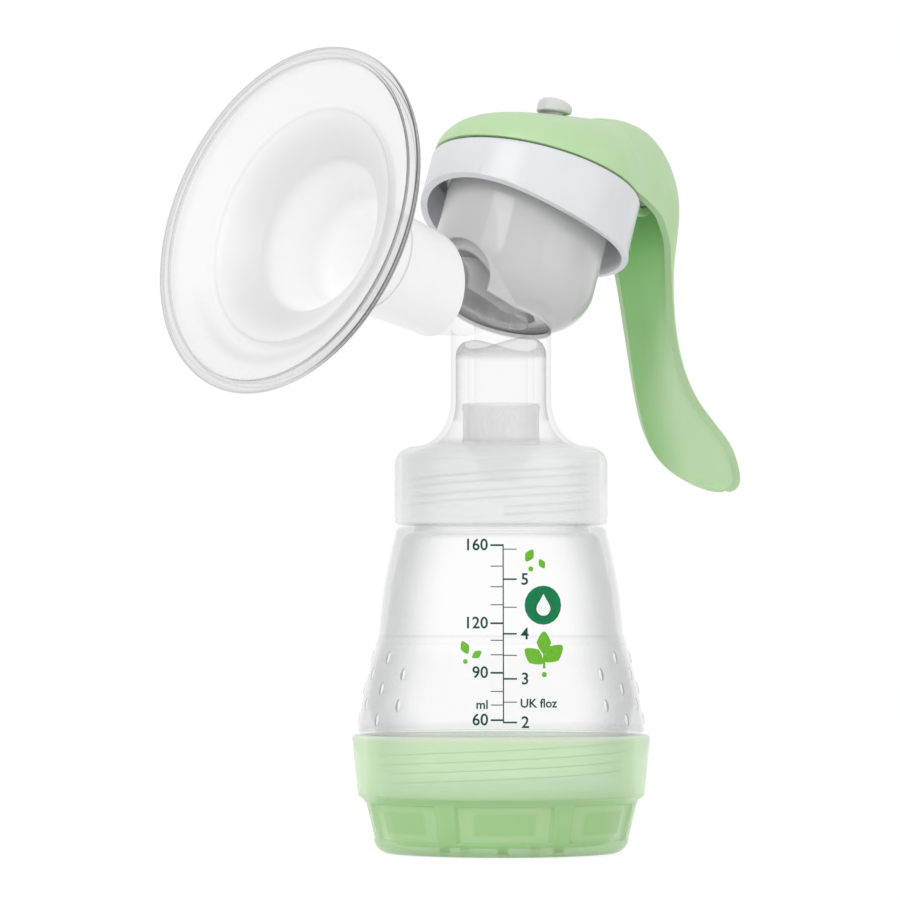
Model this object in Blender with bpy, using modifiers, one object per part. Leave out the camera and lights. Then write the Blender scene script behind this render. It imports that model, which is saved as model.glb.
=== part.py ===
"""Manual breast pump on a baby bottle, built as separate named pieces.

Frame: origin at the centre of the foot of the bottle's base, +Z up, the
funnel towards -X and the lever towards +X. The XZ plane mirrors the object.
Lengths are in metres.
"""

import math

import bmesh
import bpy
from mathutils import Matrix, Vector

MM = 0.001

# --- running gap between pieces that touch, and common walls ---------------
GAP = 0.3 * MM
MOULD_WALL = 1.5 * MM

# --- bottle: skirt, body and neck --------------------------------------------
BOTTLE_WALL = 1.6 * MM
SKIRT_RADIUS = 31.3 * MM          # threaded skirt that screws into the base
BODY_FOOT_RADIUS = 33.7 * MM      # body, just over the base's rim
BODY_WAIST_RADIUS = 28.8 * MM     # line between the lower flare and the body
BODY_WAIST_RISE = 22.9 * MM       # above the base's rim
FLARE_SHAPE = ((0.716, 0.367), (0.472, 0.653), (0.236, 0.857))  # shares of rise, width
BODY_MIDDLE_RADIUS = 27.6 * MM
BODY_MIDDLE_RISE = 34.0 * MM      # above the base's rim
SHOULDER_RADIUS = 24.9 * MM
SHOULDER_RISE = 48.6 * MM         # above the base's rim
SHOULDER_ROUND = 1.6 * MM
NECK_RADIUS = 22.0 * MM
NECK_HEIGHT = 16.8 * MM

# --- base cup ---------------------------------------------------------------
BASE_HEIGHT = 27.6 * MM
BASE_LEDGE = 13.4 * MM            # height of the ledge that carries the disc
BASE_STEP_DROP = 1.1 * MM         # slope between the skirt and the lower tier
BASE_STEP_IN = 1.5 * MM
SKIRT_WALL = 2.0 * MM
SKIRT_FLARE = 1.35 * MM
SKIRT_LIP_ROUND = 0.7 * MM
TIER_TAPER = 2.1 * MM             # lower tier's top radius less its radius over the foot
FOOT_INSET = 5.8 * MM             # lower tier's top radius less the flat foot
FOOT_ROUND_HEIGHT = 4.0 * MM
BASE_FLOOR = 2.0 * MM
BASE_LEDGE_WIDTH = 2.0 * MM
PANEL_COUNT = 7
PANEL_DEPTH = 1.0 * MM
PANEL_BOTTOM = 3.1 * MM
PANEL_TOP = 11.9 * MM
PILLAR_WIDTH = 4.4 * MM
PANEL_FACING = math.radians(-133)  # one panel is centred on this side
VENT_COUNT = 5
VENT_RADIUS = 1.2 * MM
VENT_CIRCLE = 14.0 * MM

# --- silicone vent disc -------------------------------------------------------
DISC_FLANGE = 1.6 * MM
DISC_MEMBRANE = 1.1 * MM
DISC_CROWN = 4.0 * MM
DISC_RIM_WIDTH = 3.2 * MM
DISC_HOLES = 8
DISC_HOLE_RADIUS = 0.7 * MM
DISC_HOLE_CIRCLE = 23.0 * MM

# --- pump body: collar, flare, neck and tubes --------------------------------
THREAD_ROOM = 1.2 * MM            # between the bottle's neck and the collar
COLLAR_WALL = 1.8 * MM
COLLAR_ROUND = 4.2 * MM
COLLAR_ROOF = 1.5 * MM
COLLAR_INNER_ROUND = 1.0 * MM
TUBE_NECK_RADIUS = 11.8 * MM
TUBE_NECK_WALL = 1.15 * MM
FLARE_HEIGHT = 11.0 * MM          # flare's height above the collar
BOWL_RISE = 30.4 * MM             # top of the collar to the bowl's bottom
TUNNEL_RISE = 6.7 * MM            # bowl's bottom to the tunnel's axis
SIDE_TUBE_RADIUS = 11.5 * MM
SIDE_TUBE_REACH = 22.7 * MM       # bottle's axis to the shoulder behind the funnel
SPIGOT_RADIUS = 8.6 * MM
SPIGOT_LENGTH = 8.0 * MM
MILK_TUBE_RADIUS = 7.9 * MM
MILK_BORE = 6.3 * MM
MILK_TUBE_DROP = 28.5 * MM        # bowl's bottom to the tube's lower end
SUCTION_HOLE = 2.0 * MM

# --- head: bowl under the cover's ring -----------------------------------------
HEAD_TILT = math.radians(19.5)    # head axis leans towards the lever
RING_RADIUS = 25.3 * MM
RING_HEIGHT = 15.2 * MM
RING_WALL = 1.6 * MM
BOWL_INSET = 5.5 * MM             # ring's radius less the bowl's
BOWL_ROUND = 11.0 * MM
BOWL_DEPTH = 20.5 * MM            # ring's lower edge to the bowl's bottom
RIM_FLANGE_BOTTOM = 9.5 * MM      # above the ring's lower edge
RIM_FLANGE = 2.0 * MM

# --- milk valve -----------------------------------------------------------------
VALVE_WALL = 0.95 * MM
VALVE_OVERLAP = 8.2 * MM          # length of sleeve on the milk tube
VALVE_BILL = 9.0 * MM
VALVE_LIP_HALF = 6.5 * MM
VALVE_LIP_THICK = 1.3 * MM
VALVE_SLIT = 0.3 * MM

# --- funnel -----------------------------------------------------------------------
FUNNEL_RISE = math.radians(16)    # funnel's axis above the tunnel's
FUNNEL_REACH = 48.0 * MM          # socket's mouth to the rim's plane
RIM_RADIUS = 41.4 * MM
LIP_WIDTH = 2.9 * MM
LIP_DEPTH = 1.5 * MM
FUNNEL_WALL = 1.7 * MM
DISH_RADIUS = 28.0 * MM
DISH_DEPTH = 5.6 * MM
THROAT_RADIUS = 18.3 * MM
THROAT_DEPTH = 12.2 * MM
TUNNEL_RADIUS = 10.5 * MM
TUNNEL_DEPTH = 29.0 * MM
THROAT_CURVE = (4.2 * MM, 7.0 * MM)  # in from the throat and down to the next knot
SOCKET_WALL = 1.6 * MM
SOCKET_TAPER = math.radians(4)

# --- cover ring with its hinge ---------------------------------------------------
RING_LIP = 0.5 * MM               # flare at the ring's lower edge
RING_ROUND = 1.2 * MM
RING_ARCH_RADIUS = 80.0 * MM      # lower edge arches up over the funnel's side
RING_ARCH_START = 5.0 * MM        # where the arch leaves the lower edge
SNAP_BEAD = 0.6 * MM
HINGE_OFFSET = 3.6 * MM           # hinge axis beyond the ring's radius
HINGE_HEIGHT = 21.8 * MM          # above the ring's lower edge
LUG_HALF_WIDTH = 4.6 * MM
LUG_RADIUS = 3.8 * MM
TRUNNION_RADIUS = 2.0 * MM

# --- diaphragm and stem ------------------------------------------------------------
DIAPHRAGM_WALL = 1.2 * MM
DIAPHRAGM_FLANGE = 1.7 * MM
DIAPHRAGM_ROUND = 7.0 * MM
DIAPHRAGM_CLEAR = 0.7 * MM        # between its wall and the bowl
HUB_HEIGHT = 6.0 * MM
HUB_WALL = 1.6 * MM
STEM_RADIUS = 2.2 * MM
STEM_FOOT_RADIUS = 3.6 * MM
STEM_FOOT_HEIGHT = 2.0 * MM
KNOB_RADIUS = 4.15 * MM
KNOB_HEIGHT = 3.1 * MM
KNOB_CONE = math.radians(20)
KNOB_BAND = 0.35                  # share of the dome's height that is straight

# --- lever ----------------------------------------------------------------------------
LEVER_WALL = 1.8 * MM
LEVER_CROWN = 16.0 * MM           # ridge above the ring's top, at the stem
LEVER_INSET = 0.2 * MM            # ring's radius less the cap's
BEARING_WALL = 1.8 * MM
BEARING_RADIUS = 4.4 * MM
STEM_SLOT_LENGTH = 5.6 * MM
LEVER_EDGE = 0.05 * MM            # straight edge under the arch
CAP_ROWS = (                      # shares of the cap's radius and height
    (-0.985, 0.42),
    (-0.94, 0.66),
    (-0.85, 0.86),
    (-0.68, 0.97),
    (-0.42, 1.0),
    (-0.1, 1.0),
    (0.22, 1.0),
    (0.5, 1.0),
)
HANDLE_ROWS = (                   # mm from the hinge: ridge x, z, rim x, z,
    (-10.5, 19.0, -10.8, -1.1, 17.6, 1.0),   # half width, and the arch's power
    (-2.4, 19.0, -4.8, -2.6, 14.6, 1.0),
    (5.0, 17.0, 0.2, -4.6, 12.7, 1.0),
    (11.2, 11.8, 3.2, -7.4, 11.3, 1.0),
    (14.5, 4.2, 5.3, -11.0, 10.6, 1.0),
    (13.8, -4.8, 6.3, -14.8, 9.9, 1.1),
    (12.0, -13.6, 7.1, -19.2, 9.3, 1.2),
    (12.6, -25.6, 8.4, -27.6, 8.7, 1.4),
    (14.4, -34.6, 10.1, -35.7, 8.6, 1.5),
    (16.2, -40.8, 12.2, -42.3, 9.2, 1.6),
    (18.8, -46.4, 15.1, -48.5, 10.4, 1.6),
    (22.0, -51.0, 18.8, -53.6, 12.2, 1.6),
    (26.3, -56.3, 23.3, -58.8, 13.5, 1.6),
    (29.7, -60.7, 27.0, -63.3, 12.4, 1.6),
    (33.1, -64.2, 31.0, -66.8, 9.6, 1.6),
    (35.3, -66.7, 33.8, -68.9, 6.2, 1.6),
    (36.5, -68.3, 35.6, -69.9, 3.0, 1.6),
)

# --- facets -------------------------------------------------------------------------------
ROUND = 32                        # steps round the large turned pieces
FINE = 20                         # steps round the small ones
ARC_STEPS = 4
LEVER_STEPS = 10

# --- values that follow ----------------------------------------------------------------
BASE_BORE = SKIRT_RADIUS + GAP
BASE_TIER_RADIUS = BASE_BORE + SKIRT_WALL - BASE_STEP_IN
DISC_BOTTOM = BASE_LEDGE + GAP
BOTTLE_FOOT = DISC_BOTTOM + DISC_FLANGE + GAP
BODY_FOOT = BASE_HEIGHT + GAP
SHOULDER_TOP = BODY_FOOT + SHOULDER_RISE
NECK_TOP = SHOULDER_TOP + NECK_HEIGHT

COLLAR_BOTTOM = SHOULDER_TOP + GAP
COLLAR_BORE = NECK_RADIUS + THREAD_ROOM
COLLAR_RADIUS = COLLAR_BORE + COLLAR_WALL
COLLAR_CEILING = NECK_TOP + GAP
COLLAR_TOP = COLLAR_CEILING + COLLAR_ROOF
FLARE_TOP = COLLAR_TOP + FLARE_HEIGHT
BOWL_FOOT = Vector((0, 0, COLLAR_TOP + BOWL_RISE))
TUNNEL_START = BOWL_FOOT + Vector((0, 0, TUNNEL_RISE))
TUNNEL_BORE = SPIGOT_RADIUS - MOULD_WALL
SOCKET_REACH = SIDE_TUBE_REACH + GAP
SOCKET_MOUTH = TUNNEL_START - Vector((SOCKET_REACH, 0, 0))

HEAD_TURN = Matrix.Rotation(HEAD_TILT, 4, "Y")
HEAD_AXIS = HEAD_TURN @ Vector((0, 0, 1))
HEAD_SIDE = HEAD_TURN @ Vector((1, 0, 0))
HEAD_ORIGIN = BOWL_FOOT + HEAD_AXIS * BOWL_DEPTH
HINGE_REACH = RING_RADIUS + HINGE_OFFSET
HINGE = HEAD_ORIGIN + HEAD_SIDE * HINGE_REACH + HEAD_AXIS * HINGE_HEIGHT

BOWL_RADIUS = RING_RADIUS - BOWL_INSET
RING_BORE = RING_RADIUS - RING_WALL
RIM_FLANGE_RADIUS = RING_BORE - GAP
RIM_FLANGE_TOP = RIM_FLANGE_BOTTOM + RIM_FLANGE
DIAPHRAGM_SEAT = RIM_FLANGE_TOP + GAP
COVER_ROOF = DIAPHRAGM_SEAT + DIAPHRAGM_FLANGE + GAP
DIAPHRAGM_FLOOR = (TUNNEL_RISE * math.cos(HEAD_TILT) + SPIGOT_RADIUS + 2 * GAP
                   - BOWL_DEPTH)
CROWN = RING_HEIGHT + LEVER_CROWN


# --- helpers ---------------------------------------------------------------------------

def collection(name):
    """Return a new collection linked to the scene."""
    group = bpy.data.collections.new(name)
    bpy.context.scene.collection.children.link(group)
    return group


def clear_scene():
    """Remove every object of the scene that is open."""
    for thing in list(bpy.data.objects):
        bpy.data.objects.remove(thing, do_unlink=True)


def material(name, colour, roughness, alpha=1.0, transmission=0.0):
    """Return a Principled material."""
    look = bpy.data.materials.new(name)
    look.use_nodes = True
    shader = look.node_tree.nodes["Principled BSDF"]
    shader.inputs["Base Color"].default_value = (*colour, 1.0)
    shader.inputs["Roughness"].default_value = roughness
    shader.inputs["Metallic"].default_value = 0.0
    shader.inputs["Transmission Weight"].default_value = transmission
    shader.inputs["Alpha"].default_value = alpha
    return look


def link(mesh, name, group, place=None, look=None):
    """Make an object of a mesh in a collection, at a place."""
    thing = bpy.data.objects.new(name, mesh)
    group.objects.link(thing)
    if place is not None:
        thing.matrix_world = place
    if look is not None:
        mesh.materials.append(look)
    if group is CUTTERS:
        thing.hide_render = True
        thing.display_type = "WIRE"
    return thing


def turned(name, profile, group, place=None, look=None, steps=ROUND, closed=True):
    """Turn a profile of (radius, height) points about local Z.

    The points run down the outer side. A closed profile is a loop clear of
    the axis, and an open one starts and ends on the axis.
    """
    mesh = bpy.data.meshes.new(name)
    points = [(radius, 0.0, height) for radius, height in profile]
    edges = [(i, i + 1) for i in range(len(points) - 1)]
    if closed:
        edges.append((len(points) - 1, 0))
    mesh.from_pydata(points, edges, [])
    thing = link(mesh, name, group, place, look)
    screw = thing.modifiers.new("turn", "SCREW")
    screw.axis = "Z"
    screw.angle = math.tau
    screw.steps = steps
    screw.render_steps = steps
    screw.use_merge_vertices = True
    screw.merge_threshold = 0.00001
    screw.use_smooth_shade = True
    return thing


def boolean(thing, tool, operation):
    """Cut, join or intersect an object with another, exactly."""
    change = thing.modifiers.new(tool.name, "BOOLEAN")
    change.object = tool
    change.operation = operation
    change.solver = "EXACT"
    weld = thing.modifiers.new("weld", "WELD")
    weld.merge_threshold = 0.000005


def cylinder(name, radius, low, high, group, place, steps=FINE):
    """Make a closed cylinder between two heights of a frame's Z axis."""
    form = bmesh.new()
    middle = Matrix.Translation((0, 0, (low + high) / 2))
    bmesh.ops.create_cone(form, cap_ends=True, segments=steps, radius1=radius,
                          radius2=radius, depth=high - low, matrix=middle)
    return finish(form, name, group, place)


def box(name, low, high, group, place):
    """Make a closed box between two corners in a frame."""
    form = bmesh.new()
    bmesh.ops.create_cube(form, size=1.0)
    size = Vector(high) - Vector(low)
    centre = (Vector(high) + Vector(low)) / 2
    bmesh.ops.scale(form, vec=size, verts=form.verts)
    bmesh.ops.translate(form, vec=centre, verts=form.verts)
    return finish(form, name, group, place)


def finish(form, name, group, place, look=None):
    """Write a bmesh to a new object with its faces pointing out."""
    bmesh.ops.recalc_face_normals(form, faces=form.faces)
    mesh = bpy.data.meshes.new(name)
    form.to_mesh(mesh)
    form.free()
    return link(mesh, name, group, place, look)


def prism(name, outline, half_width, group, place, look=None):
    """Extrude an outline of (x, z) points to both sides of the XZ plane."""
    form = bmesh.new()
    verts = [form.verts.new((x, -half_width, z)) for x, z in outline]
    face = form.faces.new(verts)
    raised = bmesh.ops.extrude_face_region(form, geom=[face])
    moved = [item for item in raised["geom"] if isinstance(item, bmesh.types.BMVert)]
    bmesh.ops.translate(form, vec=(0, 2 * half_width, 0), verts=moved)
    return finish(form, name, group, place, look)


def loft(name, sections, group, place, look=None):
    """Join closed sections of equal point counts, with a cap at each end."""
    form = bmesh.new()
    rings = [[form.verts.new(point) for point in section] for section in sections]
    count = len(rings[0])
    for near, far in zip(rings, rings[1:]):
        for i in range(count):
            j = (i + 1) % count
            form.faces.new((near[i], near[j], far[j], far[i]))
    form.faces.new(rings[0])
    form.faces.new(rings[-1])
    bmesh.ops.triangulate(form, faces=form.faces)
    return finish(form, name, group, place, look)


def arc(centre, radius, start, end, steps=ARC_STEPS):
    """Return points of an arc in a profile, with angles in degrees."""
    points = []
    for i in range(steps + 1):
        angle = math.radians(start + (end - start) * i / steps)
        points.append((centre[0] + radius * math.cos(angle),
                       centre[1] + radius * math.sin(angle)))
    return points


def curve(knots, per_span):
    """Return a smooth curve through tuples of numbers, end knots included."""
    padded = [knots[0]] + list(knots) + [knots[-1]]
    points = []
    for a, b, c, d in zip(padded, padded[1:], padded[2:], padded[3:]):
        for i in range(per_span):
            t = i / per_span
            points.append(tuple(
                0.5 * (2 * q + (r - p) * t + (2 * p - 5 * q + 4 * r - s) * t ** 2
                       + (3 * q - p - 3 * r + s) * t ** 3)
                for p, q, r, s in zip(a, b, c, d)))
    points.append(tuple(knots[-1]))
    return points


def head_point(reach, height, side=0.0):
    """Return the world point at a reach, height and side of the head."""
    point = HEAD_ORIGIN + HEAD_SIDE * reach + HEAD_AXIS * height
    return Vector((point.x, side, point.z))


HEAD_PLACE = Matrix.Translation(HEAD_ORIGIN) @ HEAD_TURN
TUNNEL_PLACE = Matrix.Translation(TUNNEL_START) @ Matrix.Rotation(-math.pi / 2, 4, "Y")
FUNNEL_TURN = Matrix.Rotation(FUNNEL_RISE - math.pi / 2, 4, "Y")
FUNNEL_PLACE = Matrix.Translation(SOCKET_MOUTH) @ FUNNEL_TURN


# --- base and vent disc --------------------------------------------------------------

def build_base(look):
    """Cup with a threaded skirt, a ledge, recessed panels and vent holes."""
    foot = BASE_TIER_RADIUS - FOOT_INSET
    low = BASE_TIER_RADIUS - TIER_TAPER
    skirt = BASE_BORE + SKIRT_WALL
    cup = BASE_BORE - BASE_LEDGE_WIDTH
    outer = [
        (skirt + SKIRT_FLARE - SKIRT_LIP_ROUND, BASE_HEIGHT),
        (skirt + SKIRT_FLARE, BASE_HEIGHT - SKIRT_LIP_ROUND),
        (skirt, BASE_LEDGE),
        (BASE_TIER_RADIUS, BASE_LEDGE - BASE_STEP_DROP),
        (low, FOOT_ROUND_HEIGHT),
        *[(foot + (low - foot) * math.cos(math.radians(a)),
           FOOT_ROUND_HEIGHT * (1 - math.sin(math.radians(a)))) for a in (22, 45, 68)],
        (foot, 0.0),
        (0.0, 0.0),
    ]
    inner = [
        (0.0, BASE_FLOOR),
        (foot - BASE_FLOOR, BASE_FLOOR),
        (low - SKIRT_WALL - PANEL_DEPTH, FOOT_ROUND_HEIGHT + PANEL_DEPTH),
        (cup, BASE_LEDGE - PANEL_DEPTH),
        (cup, BASE_LEDGE),
        (BASE_BORE, BASE_LEDGE),
        (BASE_BORE, BASE_HEIGHT - SKIRT_LIP_ROUND),
        (BASE_BORE + SKIRT_LIP_ROUND, BASE_HEIGHT),
    ]
    base = turned("bottle_base", inner + outer, PIECES, look=look, closed=False)
    boolean(base, build_panel_cutter(low), "DIFFERENCE")
    for i in range(VENT_COUNT):
        angle = PANEL_FACING + math.tau * i / VENT_COUNT
        spot = Matrix.Translation((VENT_CIRCLE * math.cos(angle),
                                   VENT_CIRCLE * math.sin(angle), 0))
        drill = cylinder(f"base_vent_cutter_{i}", VENT_RADIUS, -BASE_FLOOR,
                         2 * BASE_FLOOR, CUTTERS, spot, steps=16)
        boolean(base, drill, "DIFFERENCE")
    return base


def build_panel_cutter(low):
    """Ring outside the lower tier, broken by a pillar between the panels."""
    slope = (BASE_TIER_RADIUS - low) / (BASE_LEDGE - BASE_STEP_DROP - FOOT_ROUND_HEIGHT)
    bottom = low + slope * (PANEL_BOTTOM - FOOT_ROUND_HEIGHT) - PANEL_DEPTH
    top = low + slope * (PANEL_TOP - FOOT_ROUND_HEIGHT) - PANEL_DEPTH
    far = BASE_BORE + 3 * SKIRT_WALL
    ring = turned("panel_cutter", [(far, PANEL_TOP), (far, PANEL_BOTTOM),
                                   (bottom, PANEL_BOTTOM), (top, PANEL_TOP)], CUTTERS)
    for i in range(PANEL_COUNT):
        angle = PANEL_FACING + math.tau * (i + 0.5) / PANEL_COUNT
        pillar = box(f"pillar_{i}", (bottom / 2, -PILLAR_WIDTH / 2, 0),
                     (2 * far, PILLAR_WIDTH / 2, BASE_LEDGE), CUTTERS,
                     Matrix.Rotation(angle, 4, "Z"))
        boolean(ring, pillar, "DIFFERENCE")
    return ring


def build_vent_disc(look):
    """Silicone disc: a flange under the bottle and a crowned membrane."""
    top = DISC_BOTTOM + DISC_FLANGE
    rim = SKIRT_RADIUS - DISC_RIM_WIDTH
    crown = DISC_BOTTOM + DISC_CROWN
    upper = [(0.0, crown + DISC_MEMBRANE)]
    lower = []
    for i in range(1, 5):
        share = i / 4
        drop = DISC_CROWN * share ** 2
        upper.append((rim * share, crown + DISC_MEMBRANE - drop))
        lower.append((rim * share, crown - drop))
    profile = upper + [(rim, top), (SKIRT_RADIUS, top), (SKIRT_RADIUS, DISC_BOTTOM)]
    profile += lower[::-1] + [(0.0, crown)]
    disc = turned("base_vent_disc", profile, PIECES, look=look, closed=False)
    for i in range(DISC_HOLES):
        angle = math.tau * i / DISC_HOLES
        spot = Matrix.Translation((DISC_HOLE_CIRCLE * math.cos(angle),
                                   DISC_HOLE_CIRCLE * math.sin(angle), DISC_BOTTOM))
        drill = cylinder(f"disc_hole_cutter_{i}", DISC_HOLE_RADIUS, -DISC_CROWN,
                         3 * DISC_CROWN, CUTTERS, spot, steps=10)
        boolean(disc, drill, "DIFFERENCE")
    return disc


# --- bottle ----------------------------------------------------------------------------

def build_bottle(look):
    """Open-ended bottle: skirt, flared foot, tapering body, shoulder, neck."""
    widening = BODY_FOOT_RADIUS - BODY_WAIST_RADIUS
    knots = [(BODY_WAIST_RADIUS, BODY_WAIST_RISE)]
    knots += [(BODY_WAIST_RADIUS + widening * width, BODY_WAIST_RISE * rise)
              for rise, width in FLARE_SHAPE]
    lower = curve(knots + [(BODY_FOOT_RADIUS, 0.0)], 1)
    middle = BODY_FOOT + BODY_MIDDLE_RISE
    outer = [(NECK_RADIUS, NECK_TOP), (NECK_RADIUS, SHOULDER_TOP)]
    outer += arc((SHOULDER_RADIUS - SHOULDER_ROUND, SHOULDER_TOP - SHOULDER_ROUND),
                 SHOULDER_ROUND, 90, 8, 3)
    outer += [(BODY_MIDDLE_RADIUS, middle)]
    outer += [(radius, BODY_FOOT + rise) for radius, rise in lower]
    outer += [(SKIRT_RADIUS, BODY_FOOT), (SKIRT_RADIUS, BOTTLE_FOOT)]
    inner = [(SKIRT_RADIUS - BOTTLE_WALL, BOTTLE_FOOT),
             (SKIRT_RADIUS - BOTTLE_WALL, BODY_FOOT + BOTTLE_WALL)]
    inner += [(radius - BOTTLE_WALL, BODY_FOOT + rise + BOTTLE_WALL)
              for radius, rise in lower[::-1][1:]]
    inner += [(BODY_MIDDLE_RADIUS - BOTTLE_WALL, middle),
              (SHOULDER_RADIUS - BOTTLE_WALL, SHOULDER_TOP - 2 * SHOULDER_ROUND),
              (NECK_RADIUS - BOTTLE_WALL, SHOULDER_TOP - SHOULDER_ROUND),
              (NECK_RADIUS - BOTTLE_WALL, NECK_TOP)]
    return turned("bottle_body", outer + inner, PIECES, look=look)


# --- pump body ----------------------------------------------------------------------

def build_pump_body(look):
    """One clear moulding: collar, flare, neck, side tube, bowl and tubes."""
    flare_radius = COLLAR_RADIUS - COLLAR_ROUND - TUBE_NECK_RADIUS
    collar_corner = (COLLAR_RADIUS - COLLAR_ROUND, COLLAR_TOP - COLLAR_ROUND)
    flare = [(TUBE_NECK_RADIUS + flare_radius * (1 - math.cos(math.radians(a))),
              FLARE_TOP - FLARE_HEIGHT * math.sin(math.radians(a)))
             for a in range(0, 90, 15)]
    inner_corner = (COLLAR_BORE - COLLAR_INNER_ROUND, COLLAR_CEILING - COLLAR_INNER_ROUND)
    outer = [(0.0, TUNNEL_START.z), (TUBE_NECK_RADIUS, TUNNEL_START.z)] + flare
    outer += arc(collar_corner, COLLAR_ROUND, 90, 0)
    outer += [(COLLAR_RADIUS, COLLAR_BOTTOM), (COLLAR_BORE, COLLAR_BOTTOM)]
    outer += arc(inner_corner, COLLAR_INNER_ROUND, 0, 90, 3)
    outer += [(0.0, COLLAR_CEILING)]
    body = turned("pump_body", outer, PIECES, look=look, closed=False)

    boolean(body, tunnel_rod("side_tube", SIDE_TUBE_RADIUS, SIDE_TUBE_REACH), "UNION")
    boolean(body, build_neck_space(flare), "DIFFERENCE")
    boolean(body, build_bowl_outside(), "UNION")
    boolean(body, build_bowl_inside(), "DIFFERENCE")
    spigot_end = SIDE_TUBE_REACH + SPIGOT_LENGTH
    boolean(body, tunnel_rod("spigot", SPIGOT_RADIUS, spigot_end), "UNION")
    foot = Matrix.Translation(BOWL_FOOT)
    milk_tube = cylinder("milk_tube", MILK_TUBE_RADIUS, -MILK_TUBE_DROP, TUNNEL_RISE,
                         CUTTERS, foot)
    boolean(body, milk_tube, "UNION")
    boolean(body, tunnel_rod("tunnel_bore", TUNNEL_BORE, 2 * spigot_end), "DIFFERENCE")
    milk_bore = cylinder("milk_bore", MILK_BORE, -2 * MILK_TUBE_DROP, TUNNEL_RISE,
                         CUTTERS, foot)
    boolean(body, milk_bore, "DIFFERENCE")
    suction = cylinder("suction_bore", SUCTION_HOLE, 0, BOWL_DEPTH, CUTTERS,
                       Matrix.Translation(TUNNEL_START) @ HEAD_TURN, steps=16)
    boolean(body, suction, "DIFFERENCE")
    return body


def tunnel_rod(name, radius, reach):
    """Rod along the tunnel with a round end over the bottle's axis."""
    profile = [(0.0, reach), (radius, reach)] + arc((0, 0), radius, 0, -90)
    profile[-1] = (0.0, -radius)
    return turned(name, profile, CUTTERS, TUNNEL_PLACE, steps=FINE, closed=False)


def build_neck_space(flare):
    """Space inside the neck and its flare, open into the collar."""
    bore = TUBE_NECK_RADIUS - TUBE_NECK_WALL
    top = BOWL_FOOT.z + TUBE_NECK_WALL
    mouth = COLLAR_RADIUS - COLLAR_ROUND - TUBE_NECK_WALL
    profile = [(0.0, top), (bore, top)]
    profile += [(radius - TUBE_NECK_WALL, height - TUBE_NECK_WALL / 2)
                for radius, height in flare]
    profile += [(mouth, COLLAR_CEILING), (mouth, COLLAR_CEILING - COLLAR_ROOF),
                (0.0, COLLAR_CEILING - COLLAR_ROOF)]
    return turned("neck_space", profile, CUTTERS, closed=False)


def bowl_profile(radius, bottom, corner, top):
    """Turned outline of a cup with a round corner and a flat bottom."""
    profile = [(0.0, top), (radius, top)]
    profile += arc((radius - corner, bottom + corner), corner, 0, -90, 5)
    return profile + [(0.0, bottom)]


def build_bowl_outside():
    """Bowl with the flange that carries the diaphragm."""
    cup = bowl_profile(BOWL_RADIUS, -BOWL_DEPTH, BOWL_ROUND, RIM_FLANGE_TOP)[2:]
    profile = [(0.0, RIM_FLANGE_TOP), (RIM_FLANGE_RADIUS, RIM_FLANGE_TOP),
               (RIM_FLANGE_RADIUS, RIM_FLANGE_BOTTOM),
               (BOWL_RADIUS, RIM_FLANGE_BOTTOM - RIM_FLANGE / 2)]
    return turned("bowl_outside", profile + cup, CUTTERS, HEAD_PLACE, closed=False)


def build_bowl_inside():
    """Working space of the bowl."""
    profile = bowl_profile(BOWL_RADIUS - MOULD_WALL, MOULD_WALL - BOWL_DEPTH,
                           BOWL_ROUND - MOULD_WALL, RIM_FLANGE_TOP + RIM_FLANGE)
    return turned("bowl_inside", profile, CUTTERS, HEAD_PLACE, closed=False)


# --- milk valve ------------------------------------------------------------------------

def valve_section(half_x, half_y, height):
    """Rounded section of the valve at a height, across half sizes."""
    points = []
    for i in range(FINE):
        angle = math.tau * i / FINE
        points.append((half_x * math.cos(angle), half_y * math.sin(angle), height))
    return points


def build_valve(look):
    """Silicone sleeve on the milk tube that narrows to a flat bill."""
    inner = MILK_TUBE_RADIUS + GAP
    outer = inner + VALVE_WALL
    top = VALVE_OVERLAP
    seat = -GAP
    shape = [(outer, outer, top), (outer, outer, seat - VALVE_WALL)]
    hollow = [(inner, inner, top + VALVE_WALL), (inner, inner, seat)]
    for share in (0.25, 0.5, 0.75, 1.0):
        ease = math.sin(share * math.pi / 2)
        lip = VALVE_LIP_HALF
        height = seat - VALVE_WALL - VALVE_BILL * share
        thick = VALVE_LIP_THICK / 2
        shape.append((outer + (lip - outer) * share, outer + (thick - outer) * ease, height))
        slit = VALVE_SLIT / 2
        wide = MILK_BORE + (lip - VALVE_WALL - MILK_BORE) * share
        hollow.append((wide, MILK_BORE + (slit - MILK_BORE) * ease, height))
    hollow.append((hollow[-1][0], hollow[-1][1], hollow[-1][2] - VALVE_WALL))
    place = Matrix.Translation((0, 0, BOWL_FOOT.z - MILK_TUBE_DROP))
    valve = loft("milk_valve", [valve_section(*row) for row in shape], PIECES, place, look)
    space = loft("valve_space", [valve_section(*row) for row in hollow], CUTTERS, place)
    boolean(valve, space, "DIFFERENCE")
    return valve


# --- funnel ----------------------------------------------------------------------------

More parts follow.
